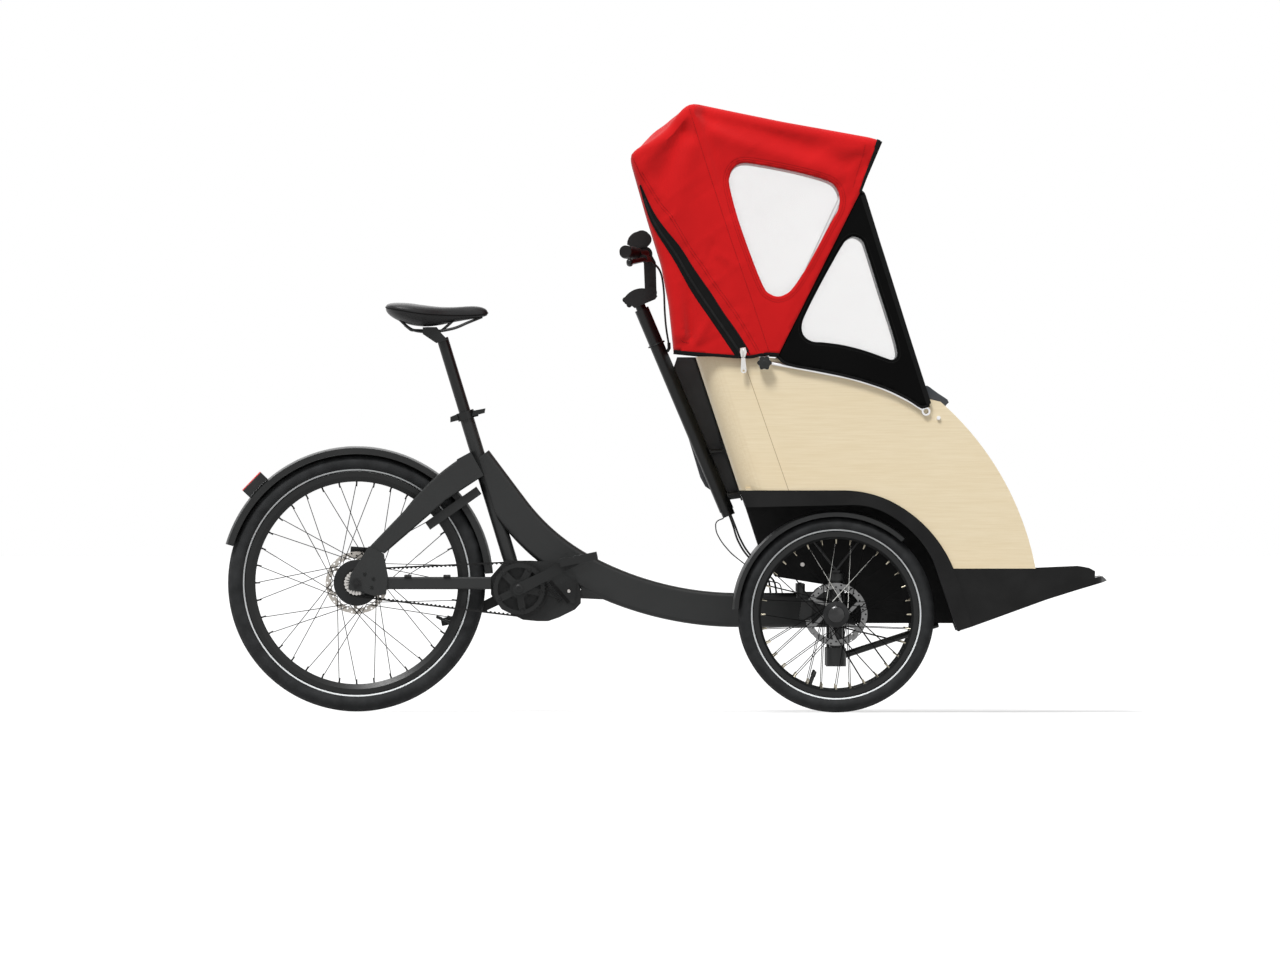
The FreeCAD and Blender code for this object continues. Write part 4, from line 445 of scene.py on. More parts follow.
def split(points, gaps, closed=False):
    """The same line as evenly spaced points, with so many gaps between them."""
    line = [Vector(p) for p in points]
    if closed:
        line.append(line[0])
    lengths = running_lengths(line)
    made, where = [], 0
    for index in range(gaps + (0 if closed else 1)):
        goal = lengths[-1] * index / gaps
        while where < len(line) - 2 and lengths[where + 1] < goal:
            where += 1
        span = lengths[where + 1] - lengths[where]
        share = (goal - lengths[where]) / span if span > 0 else 0.0
        made.append(tuple(line[where].lerp(line[where + 1], share)))
    return made


def evenly(points, step, closed=False):
    """The same line with its points an even step apart."""
    line = [Vector(p) for p in points]
    total = running_lengths(line + line[:1] if closed else line)[-1]
    return split(points, max(2, round(total / step)), closed)


def around(centre, radius, degrees):
    """A side-view point at a radius from a centre, in a direction from +X upwards."""
    angle = math.radians(degrees)
    return centre[0] + radius * math.cos(angle), centre[1] + radius * math.sin(angle)


def arc_points(centre, radius, start, end, count):
    return [around(centre, radius, cross(start, end, k / (count - 1))) for k in range(count)]


def sheet_faces(rows, count, wrap=True, closed=False, caps=False):
    """Quads between rows of count points; wrap closes each row, closed joins last row to first."""
    faces = []
    for index in range(rows if closed else rows - 1):
        a, b = index * count, (index + 1) % rows * count
        for k in range(count if wrap else count - 1):
            n = (k + 1) % count
            faces.append((a + k, a + n, b + n, b + k))
    if caps:
        faces += [tuple(reversed(range(count))), tuple(range((rows - 1) * count, rows * count))]
    return faces


def tube_mesh(line, radius, sides=8, caps=True):
    """A tube along a line; radius is one number or one for each point."""
    line = [Vector(p) for p in line]
    radii = [radius] * len(line) if isinstance(radius, (int, float)) else list(radius)
    vertices = []
    up = Vector((0, 1, 0))
    for index, point in enumerate(line):
        ahead = line[min(index + 1, len(line) - 1)] - line[max(index - 1, 0)]
        ahead.normalize()
        if abs(ahead.dot(up)) > 0.98:
            up = Vector((0, 0, 1))
        side = ahead.cross(up).normalized()
        up = side.cross(ahead).normalized()
        for k in range(sides):
            angle = 2 * math.pi * k / sides
            vertices.append(tuple(point + radii[index] * (math.cos(angle) * side + math.sin(angle) * up)))
    return vertices, sheet_faces(len(line), sides, caps=caps)


def lathe(centre, profile, segments):
    """An open profile of (radius, y) turned round an axis along Y through centre (x, z)."""
    vertices = []
    for index in range(segments):
        angle = 2 * math.pi * index / segments
        for radius, y in profile:
            vertices.append((centre[0] + radius * math.cos(angle), y, centre[1] + radius * math.sin(angle)))
    return vertices, sheet_faces(segments, len(profile), wrap=False, closed=True)


def block_mesh(corners, y0, y1, bevel=0.0):
    """A side-view outline carried from y0 to y1, with the outline shrunk a little at both faces."""
    count = len(corners)
    middle = [sum(c[k] for c in corners) / count for k in (0, 1)]
    step = math.copysign(bevel, y1 - y0)
    vertices = []
    for y, inset in ((y0, bevel), (y0 + step, 0.0), (y1 - step, 0.0), (y1, bevel)):
        for x, z in corners:
            away = Vector((x - middle[0], z - middle[1]))
            size = away.length
            away *= max(0.0, size - inset) / size if size else 0.0
            vertices.append((middle[0] + away.x, y, middle[1] + away.y))
    return vertices, sheet_faces(4, count, caps=True)


def bolt_mesh(centre, y, out, radius, height):
    """A round-shouldered screw head facing along out (+1 or -1 in Y), with a recess."""
    profile = [(radius, 0.0), (radius, 0.6 * height), (0.82 * radius, height),
               (0.46 * radius, height), (0.46 * radius, 0.45 * height), (0.01, 0.45 * height)]
    return lathe(centre, [(r, y + out * h) for r, h in profile], 18)


# ---- hood ----------------------------------------------------------------------------------
HOOD_HALF_BASE = 446.0
HOOD_LEAN = 40.0 / 644.0
HEM_Z = 908.0
HOOD_PIVOT = (251.0, 891.0)
SHOULDER_R = 22.0
SHOULDER_STEPS = 6
ROOF_STEPS = 36
HOOP_TOPS = ((-79, 1409), (68, 1540), (513, 1454))
SAGS = ((65.0, 105.7, 7.0), (105.7, 122.5, 4.0), (122.5, 160.0, 3.0))   # two directions, depth
CLOTH = 1.6                   # thickness of the canvas

# Folds of the stretched canvas: two ends, width, and height at each end; outwards is positive.
FOLDS = (
    ((80, 1537), (488, 1400), 27, -23.0, -7.0), ((128, 1478), (430, 1372), 26, 4.0, 9.0),
    ((84, 1524), (280, 1432), 14, -8.0, 0.0), ((44, 1530), (-60, 1392), 19, 15.0, 5.0),
    ((46, 1480), (-34, 1320), 26, -15.0, -4.0), ((8, 1492), (-74, 1424), 13, -8.0, -2.0),
    ((100, 1480), (168, 1270), 24, -9.0, -6.0), ((62, 1440), (24, 1240), 28, 8.0, 3.0),
    ((398, 1420), (505, 1440), 28, 8.0, 9.0), ((462, 1330), (496, 1400), 16, -5.0, -2.0),
    ((120, 1190), (98, 1118), 11, -3.5, -1.5), ((152, 1158), (196, 1128), 11, 2.6, 0.6),
    ((132, 1150), (176, 1096), 12, -2.6, -0.4), ((42, 958), (24, 1120), 12, 11.0, 2.0),
    ((64, 952), (60, 1080), 10, -11.0, -2.0), ((80, 948), (122, 1024), 12, 7.0, 1.5),
    ((92, 932), (150, 968), 11, -4.0, -0.5), ((40, 1200), (0, 1268), 12, 2.5, 0.5),
    ((210, 1062), (160, 1000), 14, -2.5, -0.8), ((338, 1040), (290, 960), 22, -3.0, -1.0),
)
SEAM_FRONT = [(60, 1538), (102, 1401), (163, 1213), (215, 1063), (262, 922)]
SEAM_REAR = [(-64, 1376), (-15, 1296), (14, 1262), (60, 1184), (93, 1138), (122, 1094), (186, 1004),
             (236, 918)]
ZIP_LEFT = [(-67, 1343), (-46, 1272), (-25, 1227), (20, 1157), (64, 1079), (111, 1011), (140, 969),
            (180, 911)]
ZIP_RIGHT = [(-65, 1345), (-34, 1278), (-1, 1230), (39, 1180), (74, 1124), (116, 1063), (149, 1011),
             (186, 958), (214, 912)]
ZIP_GAPS = 69                 # between the points that each edge of the zip is divided into


def along_segment(point, start, end):
    """Share of the way along a segment, and distance from it."""
    line = (end[0] - start[0], end[1] - start[1])
    size = line[0] ** 2 + line[1] ** 2
    share = ((point[0] - start[0]) * line[0] + (point[1] - start[1]) * line[1]) / size
    near = between(start, end, min(1.0, max(0.0, share)))
    return share, math.dist(point, near)


def bell(away, width):
    return math.exp(-(away / width) ** 2)


def relief(x, z):
    """How far the canvas stands out of its plane: sag between the hoops, folds and puckers."""
    away_x, away_z = x - HOOD_PIVOT[0], z - HOOD_PIVOT[1]
    reach = math.hypot(away_x, away_z)
    angle = math.degrees(math.atan2(away_z, away_x))
    height = 0.0
    for low, high, depth in SAGS:
        if low < angle < high:
            sag = math.sin(math.pi * (angle - low) / (high - low))
            height -= depth * sag * smoothstep(reach / 420.0)
    for start, end, width, first, last in FOLDS:
        share, gap = along_segment((x, z), start, end)
        fold = cross(first, last, min(1.0, max(0.0, share)))
        height += fold * bell(gap, width) * smoothstep(reach / 60.0)
    if height < 0:
        for top in HOOP_TOPS:
            height *= 1.0 - bell(along_segment((x, z), HOOD_PIVOT, top)[1], 15.0)
    run = (x - z) * 0.5
    pucker = 1.1 * math.sin(run / 4.3 + 2.0 * math.sin(run / 21.0))
    for start, end in zip(SEAM_REAR, SEAM_REAR[1:]):
        share, gap = along_segment((x, z), start, end)
        if -0.05 <= share <= 1.05:
            height += 0.9 + pucker * bell(gap, 12.0)
    return height


def on_side(x, z, sign, lift=0.0):
    """A point of the hood's side at x and z, raised by a lift."""
    half = HOOD_HALF_BASE - max(0.0, z - HEM_Z) * HOOD_LEAN
    return x, sign * (half + relief(x, z) * smoothstep((z - 905.0) / 60.0) + lift), z


def inside_polygon(point, polygon):
    inside = False
    x, z = point
    for (x0, z0), (x1, z1) in zip(polygon, polygon[1:] + polygon[:1]):
        if (z0 > z) != (z1 > z) and x < (x1 - x0) * (z - z0) / (z1 - z0) + x0:
            inside = not inside
    return inside


def distance_to_line(point, line):
    return min(along_segment(point, a, b)[1] for a, b in zip(line, line[1:]))


def panel_mesh(edge, holes, grid):
    """Triangles that fill an outline with holes, with even points inside."""
    loops = [edge] + holes
    closed = [loop + loop[:1] for loop in loops]
    points, constraints = [], []
    for loop in loops:
        base = len(points)
        points += [Vector(p) for p in loop]
        constraints += [(base + k, base + (k + 1) % len(loop)) for k in range(len(loop))]

    def filled(spot):
        return inside_polygon(spot, edge) and not any(inside_polygon(spot, hole) for hole in holes)

    xs, zs = zip(*edge)
    row, z = 0, min(zs) + grid / 2
    while z < max(zs):
        x = min(xs) + (grid / 2 if row % 2 else 0.0)
        while x < max(xs):
            if filled((x, z)) and min(distance_to_line((x, z), line) for line in closed) > 0.55 * grid:
                points.append(Vector((x, z)))
            x += grid
        z += grid * 0.866
        row += 1
    made, _, faces, *_ = delaunay_2d_cdt(points, constraints, [], 0, 1e-4)
    kept = [tuple(f) for f in faces
            if filled((sum(made[i].x for i in f) / 3, sum(made[i].y for i in f) / 3))]
    return [tuple(p) for p in made], kept


def normals(line, closed=False):
    """The direction square to a side-view line at each of its points."""
    made, last = [], len(line) - 1
    for k in range(len(line)):
        before = line[k - 1 if closed else max(0, k - 1)]
        after = line[(k + 1) % len(line) if closed else min(last, k + 1)]
        run = Vector((after[0] - before[0], after[1] - before[1])).normalized()
        made.append((-run.y, run.x))
    return made


def band_on_side(line, widths, sign, lift, height):
    """A flat tape along a line on the hood's side, standing height above lift."""
    vertices = []
    for index, ((x, z), normal) in enumerate(zip(line, normals(line))):
        half = (widths if isinstance(widths, (int, float)) else widths[index]) / 2
        for offset, rise in ((-half, 0.0), (-0.8 * half, height), (0.8 * half, height), (half, 0.0)):
            vertices.append(on_side(x + normal[0] * offset, z + normal[1] * offset, sign, lift + rise))
    return vertices, sheet_faces(len(line), 4, caps=True)


STITCH = 3.4
STITCH_GAP = 1.5


def stitches_on_side(line, sign, lift=0.0, closed=False):
    """A row of separate thread stitches along a line on the hood's side."""
    meshes = []
    spots = evenly(line, STITCH + STITCH_GAP, closed)
    for a, b in zip(spots, spots[1:] + (spots[:1] if closed else [])):
        end = between(a, b, STITCH / (STITCH + STITCH_GAP))
        points = [on_side(*spot, sign, lift + rise)
                  for spot, rise in ((a, -0.2), (between(a, end, 0.5), 0.35), (end, -0.2))]
        meshes.append(tube_mesh(points, 0.5, sides=4))
    return joined(meshes)


def rounded(line, radius, closed=False):
    """A polyline with each corner cut by a short curve."""
    made = []
    count = len(line)
    for index, point in enumerate(line):
        if not closed and index in (0, count - 1):
            made.append(tuple(point))
            continue
        corner = Vector(point)
        back, ahead = Vector(line[index - 1]) - corner, Vector(line[(index + 1) % count]) - corner
        cut = min(radius, 0.45 * back.length, 0.45 * ahead.length)
        a, b = corner + back.normalized() * cut, corner + ahead.normalized() * cut
        for t in (0.0, 0.25, 0.5, 0.75, 1.0):
            made.append(tuple((1 - t) ** 2 * a + 2 * t * (1 - t) * corner + t * t * b))
    return made


def grown(loop, amount):
    """A closed outline moved outwards by an amount."""
    area = sum(a[0] * b[1] - b[0] * a[1] for a, b in zip(loop, loop[1:] + loop[:1]))
    out = -math.copysign(amount, area)
    return [(x + out * nx, z + out * nz) for (x, z), (nx, nz) in zip(loop, normals(loop, True))]


# Side view of the canvas from the hem at the back, up and over to the front edge of the roof.
TOP_PROFILE = rounded([(20, 920), (7, 1043), (-12, 1142), (-51, 1269), (-88, 1400), (-91, 1419), (-76, 1436),
                       (-38, 1457), (0, 1486), (27, 1521), (46, 1542), (62, 1551), (80, 1551),
                       (180, 1530), (300, 1505.5), (420, 1484), (524, 1465), (545, 1458)], 14)
FRONT_EDGE = [(528, 1415), (511, 1372), (494, 1324)]
FRONT_LOW = [(494, 1324), (288, 914)]
FRONT_TAPE = [(546, 1457), (536, 1432), (524, 1402), (508, 1362), (495, 1325)]
HEM_LINE = [(288, 912), (262, 914), (238, 911), (219, 906), (186, 906), (121, 911), (69, 915), (20, 920)]
WINDOW = [(193, 1400), (228, 1398), (332, 1378), (412, 1355), (436, 1334), (443, 1306), (438, 1280), (420, 1248),
          (356, 1130), (322, 1080), (303, 1065), (284, 1060), (265, 1067), (250, 1083), (222, 1150), (184, 1258),
          (162, 1342), (163, 1368), (173, 1389)]
WING = [(484, 1332), (504, 1330), (509, 1320), (562, 1148), (620, 962), (676, 783), (652, 775), (620, 797),
        (585, 815), (557, 827), (500, 846), (440, 861), (380, 874), (330, 882), (300, 890), (284, 912),
        (390, 1120)]
WING_LOW = [(284, 908), (300, 891), (330, 882), (380, 874), (440, 862), (500, 847), (557, 828), (585, 816),
            (620, 798), (652, 776), (672, 783)]
WING_FRONT = [(502, 1318), (556, 1148), (614, 962), (670, 786)]
WING_WINDOW = [(475, 1213), (488, 1211), (500, 1203), (508, 1186), (543, 1075), (576, 972), (588, 926), (588, 906),
               (575, 899), (556, 905), (508, 922), (454, 936), (404, 943), (372, 946), (352, 960), (346, 982),
               (354, 1012), (388, 1080), (426, 1150), (456, 1200)]
SHORT_SEAMS = ([(508, 1446), (501, 1415), (486, 1370), (477, 1338)], [(34, 964), (37, 950), (46, 943), (60, 941)],
               [(-84, 1412), (-72, 1388), (-66, 1372)])
RECESS = [(955, 17), (1100, 27), (1195, 27), (1340, -66)]      # height, and x of the set-back wall
RECESS_HALF = 344.0           # half width of the recess, past the edge that eases into it
RECESS_EASE = 44.0
SAG_SPAN = (90, 520)          # x of the roof's sag between the two front hoops
FILM_SPAN = (-66.0, 32.0)     # x of the clear strip's two ends, behind the ridge
FILM_LOW = 1430               # and the height that it stays above
FILM_HALF = 322.0

WINDOW_EDGE = evenly(curved(WINDOW, 6, True), 7.0, True)
WING_WINDOW_EDGE = evenly(curved(WING_WINDOW, 6, True), 7.0, True)


def recess_x(z):
    for (z0, x0), (z1, x1) in zip(RECESS, RECESS[1:]):
        if z0 <= z <= z1:
            return cross(x0, x1, (z - z0) / (z1 - z0))
    return None


def hump(x, span):
    """From 0 at one end of a span, up to 1 and back to 0 at the other."""
    return math.sin(math.pi * (x - span[0]) / (span[1] - span[0])) if span[0] < x < span[1] else 0.0


def roof_rows():
    """Stations along the top profile; each is a row of points from the right hem line to the left."""
    line = evenly(TOP_PROFILE, 11.0)
    rows = []
    for (x, z), (out_x, out_z) in zip(line, normals(line)):
        edge = on_side(x - out_x * SHOULDER_R, z - out_z * SHOULDER_R, 1)[1]
        row = []
        for k in range(SHOULDER_STEPS):
            angle = math.radians(18.0 * k)
            depth = SHOULDER_R * (1 - math.sin(angle))
            row.append((x - out_x * depth, edge - SHOULDER_R * (1 - math.cos(angle)), z - out_z * depth))
        half = edge - SHOULDER_R
        wall = recess_x(z)
        for k in range(1, ROOF_STEPS):
            y = half * (1 - 2 * k / ROOF_STEPS)
            push = 0.0
            if wall is not None and x < 60:
                push = max(0.0, wall - x) * smoothstep((RECESS_HALF - abs(y)) / RECESS_EASE)
            lift = -5.0 * hump(x, SAG_SPAN) * (1 - (y / half) ** 2)
            if z > FILM_LOW:
                lift += 13.0 * hump(x, FILM_SPAN) * smoothstep((392 - abs(y)) / 60)
            row.append((x + push + out_x * lift, y, z + out_z * lift))
        rows.append(row + [(px, -py, pz) for px, py, pz in reversed(row[:SHOULDER_STEPS])])
    return line, rows


def hood_outline(rows):
    """The side panel's edge: under the roof, down the front and back along the hem."""
    roof = [(row[0][0], row[0][2]) for row in rows]
    edge = list(roof)
    for line in ([roof[-1]] + FRONT_EDGE, FRONT_LOW):
        edge += evenly(line, 9.0)[1:]
    edge += evenly(HEM_LINE + [roof[0]], 9.0)[1:-1]
    return [p for k, p in enumerate(edge) if math.dist(p, edge[k - 1]) > 0.5]


def make_hood():
    """Canvas, clear films and the two side wings."""
    line, rows = roof_rows()
    width = len(rows[0])
    middle = sum(FILM_SPAN) / 2
    behind = min(range(len(line)), key=lambda i: abs(line[i][0] - middle) + max(0.0, FILM_LOW - line[i][1]))
    across = [abs(p[1]) for p in rows[behind]]
    cloth, film = [], []
    for index, quad in enumerate(sheet_faces(len(rows), width, wrap=False)):
        i, k = divmod(index, width - 1)
        clear = (FILM_SPAN[0] < (line[i][0] + line[i + 1][0]) / 2 < FILM_SPAN[1]
                 and line[i][1] > FILM_LOW and max(across[k], across[k + 1]) < FILM_HALF)
        (film if clear else cloth).append(quad)
    vertices = [p for row in rows for p in row]

    def on_both_sides(panel, lift=0.0):
        points, triangles = panel
        return [([on_side(x, z, sign, lift) for x, z in points], triangles) for _, sign in SIDES]

    side = panel_mesh(hood_outline(rows), [WINDOW_EDGE], 8.0)
    canvas = piece("hood_canvas", [(vertices, cloth)] + on_both_sides(side), RED)
    thicken(canvas, CLOTH)
    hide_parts("hood_cover")

    films = (on_both_sides(panel_mesh(WINDOW_EDGE, [], 24.0), -0.8)
             + on_both_sides(panel_mesh(WING_WINDOW_EDGE, [], 24.0), -3.8))
    films = piece("hood_films", [(vertices, film)] + films, FILM)
    thicken(films, 0.5)
    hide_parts("hood_windows")

    wing_edge = evenly(rounded(WING, 10, True), 8.0, True)
    panels = on_both_sides(panel_mesh(wing_edge, [WING_WINDOW_EDGE], 12.0), -3.0)
    for (side, _), panel in zip(SIDES, panels):
        wing = piece("hood_wing_" + side, [panel], BLACK_CANVAS)
        thicken(wing, CLOTH)
        if side == "right":
            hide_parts("hood_wings")


def zip_meshes(sign):
    """The zip's tapes, and its coil of short bars across a flat base."""
    edges = list(zip(split(curved(ZIP_LEFT, 6), ZIP_GAPS), split(curved(ZIP_RIGHT, 6), ZIP_GAPS)))
    widths = [max(4.0, 1.12 * math.dist(a, b)) for a, b in edges]
    tapes = [band_on_side([between(a, b, 0.5) for a, b in edges], widths, sign, 0.2, 1.2)]
    for share, wide in ((0.0, 2.6), (1.0, 3.0)):
        tapes.append(band_on_side([between(a, b, share) for a, b in edges], wide, sign, 0.8, 1.6))
    teeth = [between(a, b, 0.36) for a, b in edges[5:]]
    coil = [band_on_side(teeth, 6.0, sign, 1.2, 1.6)]
    spots = evenly(teeth, 3.0)
    for a, b in zip(spots, spots[1:]):
        run = Vector((b[0] - a[0], b[1] - a[1])).normalized() * 2.4
        bar = [on_side(a[0] - turn * run.y, a[1] + turn * run.x, sign, 2.6) for turn in (-1, 1)]
        coil.append(tube_mesh(bar, 0.7, sides=4))
    return tapes, coil


def slider_meshes(sign):
    """Zip slider body and its long pull with a round hole, at the foot of the zip."""
    y = sign * (HOOD_HALF_BASE + 3.5)
    body = block_mesh([(189, 929), (203, 931), (207, 918), (202, 905), (192, 905), (188, 917)],
                      y - sign * 2.0, y + sign * 3.5, 1.2)
    bail = [(197, y + sign * rise, z) for rise, z in ((3.0, 926), (6.0, 920), (6.0, 908), (3.0, 902))]
    outline = [(192, 904), (202, 904)] + arc_points((198, 872), 7.5, 10, -190, 12)
    hole = [around((198, 871), 3.0, 30 * k) for k in range(12)]
    flat_points, triangles = panel_mesh(outline, [hole], 40.0)
    levels = (y + sign * 1.0, y + sign * 2.6)
    pull = [([(x, level, z) for x, z in flat_points], triangles) for level in levels]
    for loop in (outline, hole):
        pull.append(([(x, level, z) for level in levels for x, z in loop], sheet_faces(2, len(loop))))
    return [body, tube_mesh(curved(bail, 4), 1.6, 6)] + pull


def front_band(rows):
    """The roof's front edge, folded over in a black band."""
    vertices = []
    for last, inner in zip(rows[-1], rows[-3]):
        last = Vector(last)
        out = (last - Vector(inner)).normalized()
        tip, root = last + out * 2.0, last - out * 7.0
        side = Vector((0, math.copysign(1.0, tip.y), 0)) if abs(tip.y) > 400 else Vector((0, 0, 0))
        normal = (Vector((0.18, 0, 0.98)) + side).normalized()
        vertices += [tip + normal * 1.2, root + normal * 1.6, root - normal * 2.6, tip - normal * 2.6]
    return vertices, sheet_faces(len(rows[-1]), 4)


def make_hood_trim():
    """Bindings, zips, seams and sliders on both sides of the hood, and the front edge's band."""
    front = evenly(rounded(FRONT_TAPE, 10), 7.0)
    narrowing = [cross(13.0, 6.5, k / (len(front) - 1)) for k in range(len(front))]
    tapes = (     # line, width, lift and height
        (evenly(rounded(HEM_LINE, 12), 8.0), 8.5, -1.0, 2.6), (front, narrowing, -1.0, 2.8),
        (evenly(rounded(WING_LOW, 10), 8.0), 7.0, -3.6, 2.2), (evenly(rounded(WING_FRONT, 10), 9.0), 13.0, -3.4, 1.8))
    seams = [SEAM_FRONT]
    for offset in (-3.2, 3.2):
        seams.append([(x + 0.82 * offset, z + 0.57 * offset) for x, z in curved(SEAM_REAR, 4)])
    zip_side = split(curved(ZIP_RIGHT, 6), ZIP_GAPS)[6:]
    binding, thread, black_thread, coil, metal = [], [], [], [], []
    for _, sign in SIDES:
        zip_tapes, zip_coil = zip_meshes(sign)
        binding += [band_on_side(line, wide, sign, lift, high) for line, wide, lift, high in tapes] + zip_tapes
        coil += zip_coil
        metal += slider_meshes(sign)
        thread += [stitches_on_side(line, sign) for line in seams]
        thread += [stitches_on_side(grown(WINDOW_EDGE, grow), sign, closed=True) for grow in (9.0, 14.5)]
        thread += [stitches_on_side(line, sign) for line in SHORT_SEAMS]
        black_thread.append(stitches_on_side(grown(WING_WINDOW_EDGE, 8.0), sign, -2.9, closed=True))
        black_thread.append(stitches_on_side(zip_side, sign, 1.6))
    trim = piece("hood_bindings", binding, TAPE)
    apply_modifier(trim, "BEVEL", width=0.0005, segments=1, limit_method="ANGLE")
    piece("hood_stitching", thread, THREAD)
    piece("hood_black_stitching", black_thread, ZIP_COIL)
    piece("hood_zip_coils", coil, ZIP_COIL)
    piece("hood_zip_sliders", metal, CHROME)
    piece("hood_front_band", [front_band(roof_rows()[1])], TAPE)


# ---- cushions, pads and saddle -------------------------------------------------------------
PIPING_LIFT = 0.0006          # of the seat pad's piping above the pad, in metres
CLOTH_SETTINGS = {"use_pressure": True, "uniform_pressure_force": 4.0, "quality": 4, "mass": 0.3,
                  "tension_stiffness": 12, "compression_stiffness": 12, "bending_stiffness": 0.4}
CLOTH_FRAMES = 20


def rounded_box(name, corners, y0, y1, shrink):
    """A closed box-like form from a side outline of four corners, for the cloth solver."""
    centre = Vector((sum(c[0] for c in corners) / 4, (y0 + y1) / 2, sum(c[1] for c in corners) / 4))
    vertices = []
    for y in (y0, y1):
        for x, z in corners:
            point = Vector((x, y, z))
            vertices.append(point - Vector([math.copysign(min(shrink, abs(c)), c) for c in point - centre]))
    faces = [(0, 1, 2, 3), (7, 6, 5, 4)] + sheet_faces(2, 4)
    return piece(name, [(vertices, faces)], UPHOLSTERY)


def puff(made, cap):
    """Swell a closed form with the cloth solver, keep it within a cap, and smooth it."""
    apply_modifier(made, "REMESH", mode="VOXEL", voxel_size=6.0 * MM, use_smooth_shade=True)
    before = [v.co.copy() for v in made.data.vertices]
    cloth = made.modifiers.new("cloth", "CLOTH")
    for key, value in CLOTH_SETTINGS.items():
        setattr(cloth.settings, key, value)
    cloth.settings.effector_weights.gravity = 0.0
    cloth.point_cache.frame_start = 1
    cloth.point_cache.frame_end = CLOTH_FRAMES
    scene = bpy.context.scene
    for frame_number in range(1, CLOTH_FRAMES + 1):
        scene.frame_set(frame_number)
    graph = bpy.context.evaluated_depsgraph_get()
    swollen = [v.co.copy() for v in made.evaluated_get(graph).data.vertices]
    made.modifiers.remove(cloth)
    scene.frame_set(1)
    for vertex, start, end in zip(made.data.vertices, before, swollen):
        move = end - start
        size = move.length
        vertex.co = start + move * (min(1.0, cap * MM / size) if size > 0 else 0.0)
    apply_modifier(made, "SUBSURF", levels=1)


def make_seat_pad():
    """The seat's pad with two shallow sewn channels, flat below."""
    low, high = box_mm("seat_cushion")
    corners = [(low[0], low[2]), (high[0], low[2]), (high[0], high[2]), (low[0], high[2])]
    seat = rounded_box("seat_pad", corners, low[1], high[1], 9.0)
    puff(seat, 13.0)
    middle = (low[1] + high[1]) / 2
    room = (high[0] + 2, high[1], high[2] + 6)
    for vertex in seat.data.vertices:
        if vertex.co.z / MM >= high[2] - 30:
            y = vertex.co.y / MM - middle
            for line in (-133.0, 133.0):
                vertex.co.z -= 6.5 * MM * bell(y - line, 9.0)
        for axis in range(3):
            vertex.co[axis] = min(room[axis] * MM, max(low[axis] * MM, vertex.co[axis]))
    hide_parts("seat_cushion")
    return seat


def make_back_pad():
    """The back's pad, pressed flat against the cabin's leaning rear wall."""
    low, high = box_mm("back_cushion")
    corners = sorted({(round(v.co.x / MM, 1), round(v.co.z / MM, 1)) for v in nodes["back_cushion"].data.vertices})
    middle = (low[2] + high[2]) / 2
    bottom = [c for c in corners if c[1] < middle]
    top = [c for c in corners if c[1] >= middle]
    back = rounded_box("back_pad", [bottom[0], bottom[-1], top[-1], top[0]], low[1], high[1], 7.0)
    puff(back, 9.0)
    wall = (Vector(top[0]) - Vector(bottom[0])).normalized()
    for vertex in back.data.vertices:
        x, z = vertex.co.x / MM, vertex.co.z / MM
        behind = wall.x * (z - bottom[0][1]) - wall.y * (x - bottom[0][0]) + 0.4
        if behind > 0:
            vertex.co.x += behind * wall.y * MM
            vertex.co.z -= behind * wall.x * MM
    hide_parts("back_cushion")


def make_seat_piping(seat):
    """Piping round the seat pad's lower and upper edges, laid on its surface."""
    low, high = box_mm("seat_cushion")
    inset, loops = 7.0, []
    (x0, y0, _), (x1, y1, _) = [c + inset for c in low], [c - inset for c in high]
    for z in (low[2] + 8.0, high[2] - 7.0):
        corners = [Vector(c) for c in ((x0, y0, z), (x1, y0, z), (x1, y1, z), (x0, y1, z))]
        points = [tuple(a.lerp(b, share)) for a, b in zip(corners, corners[1:] + corners[:1])
                  for share in (0.02, 0.5, 0.98)]
        line = [on_surface(seat, p, PIPING_LIFT) for p in curved(points, 6, True)]
        loops.append(tube_mesh(line + line[:1], 2.4, caps=False))
    piece("seat_pad_piping", loops, TAPE)


ARMREST = [(655, 829), (665, 835), (690, 816), (719, 797), (722, 789), (712, 783), (700, 744), (640, 764),
           (560, 793), (524, 828), (524, 842), (540, 842), (600, 826)]
ARMREST_FACE = 430.0 - 12.0 - 0.6     # half the cabin less the plywood and a hair


def make_armrests():
    """Shoulder linings on the side panels' inner faces: flat behind and crowned in front."""
    edge = evenly(rounded(ARMREST, 9, True), 8.0, True)
    flat_points, triangles = panel_mesh(edge, [], 9.0)
    count = len(flat_points)
    swells = []
    for point in flat_points:
        gap = distance_to_line(point, edge + edge[:1])
        swells.append(max(3.0, 20.0 * math.sqrt(min(1.0, gap / 22.0))) if gap > 0.2 else 3.0)
    rim = [min(range(count), key=lambda i, p=p: math.dist(flat_points[i], p)) for p in edge]
    faces = triangles + [tuple(reversed([i + count for i in t])) for t in triangles]
    faces += [(a, b, b + count, a + count) for a, b in zip(rim, rim[1:] + rim[:1])]
    for side, sign in SIDES:
        face = sign * ARMREST_FACE
        vertices = [(x, face, z) for x, z in flat_points]
        vertices += [(x, face - sign * swell, z) for (x, z), swell in zip(flat_points, swells)]
        pad = piece("armrest_pad_" + side, [(vertices, faces)], FELT)
        if side == "right":
            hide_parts("armrest_pads")


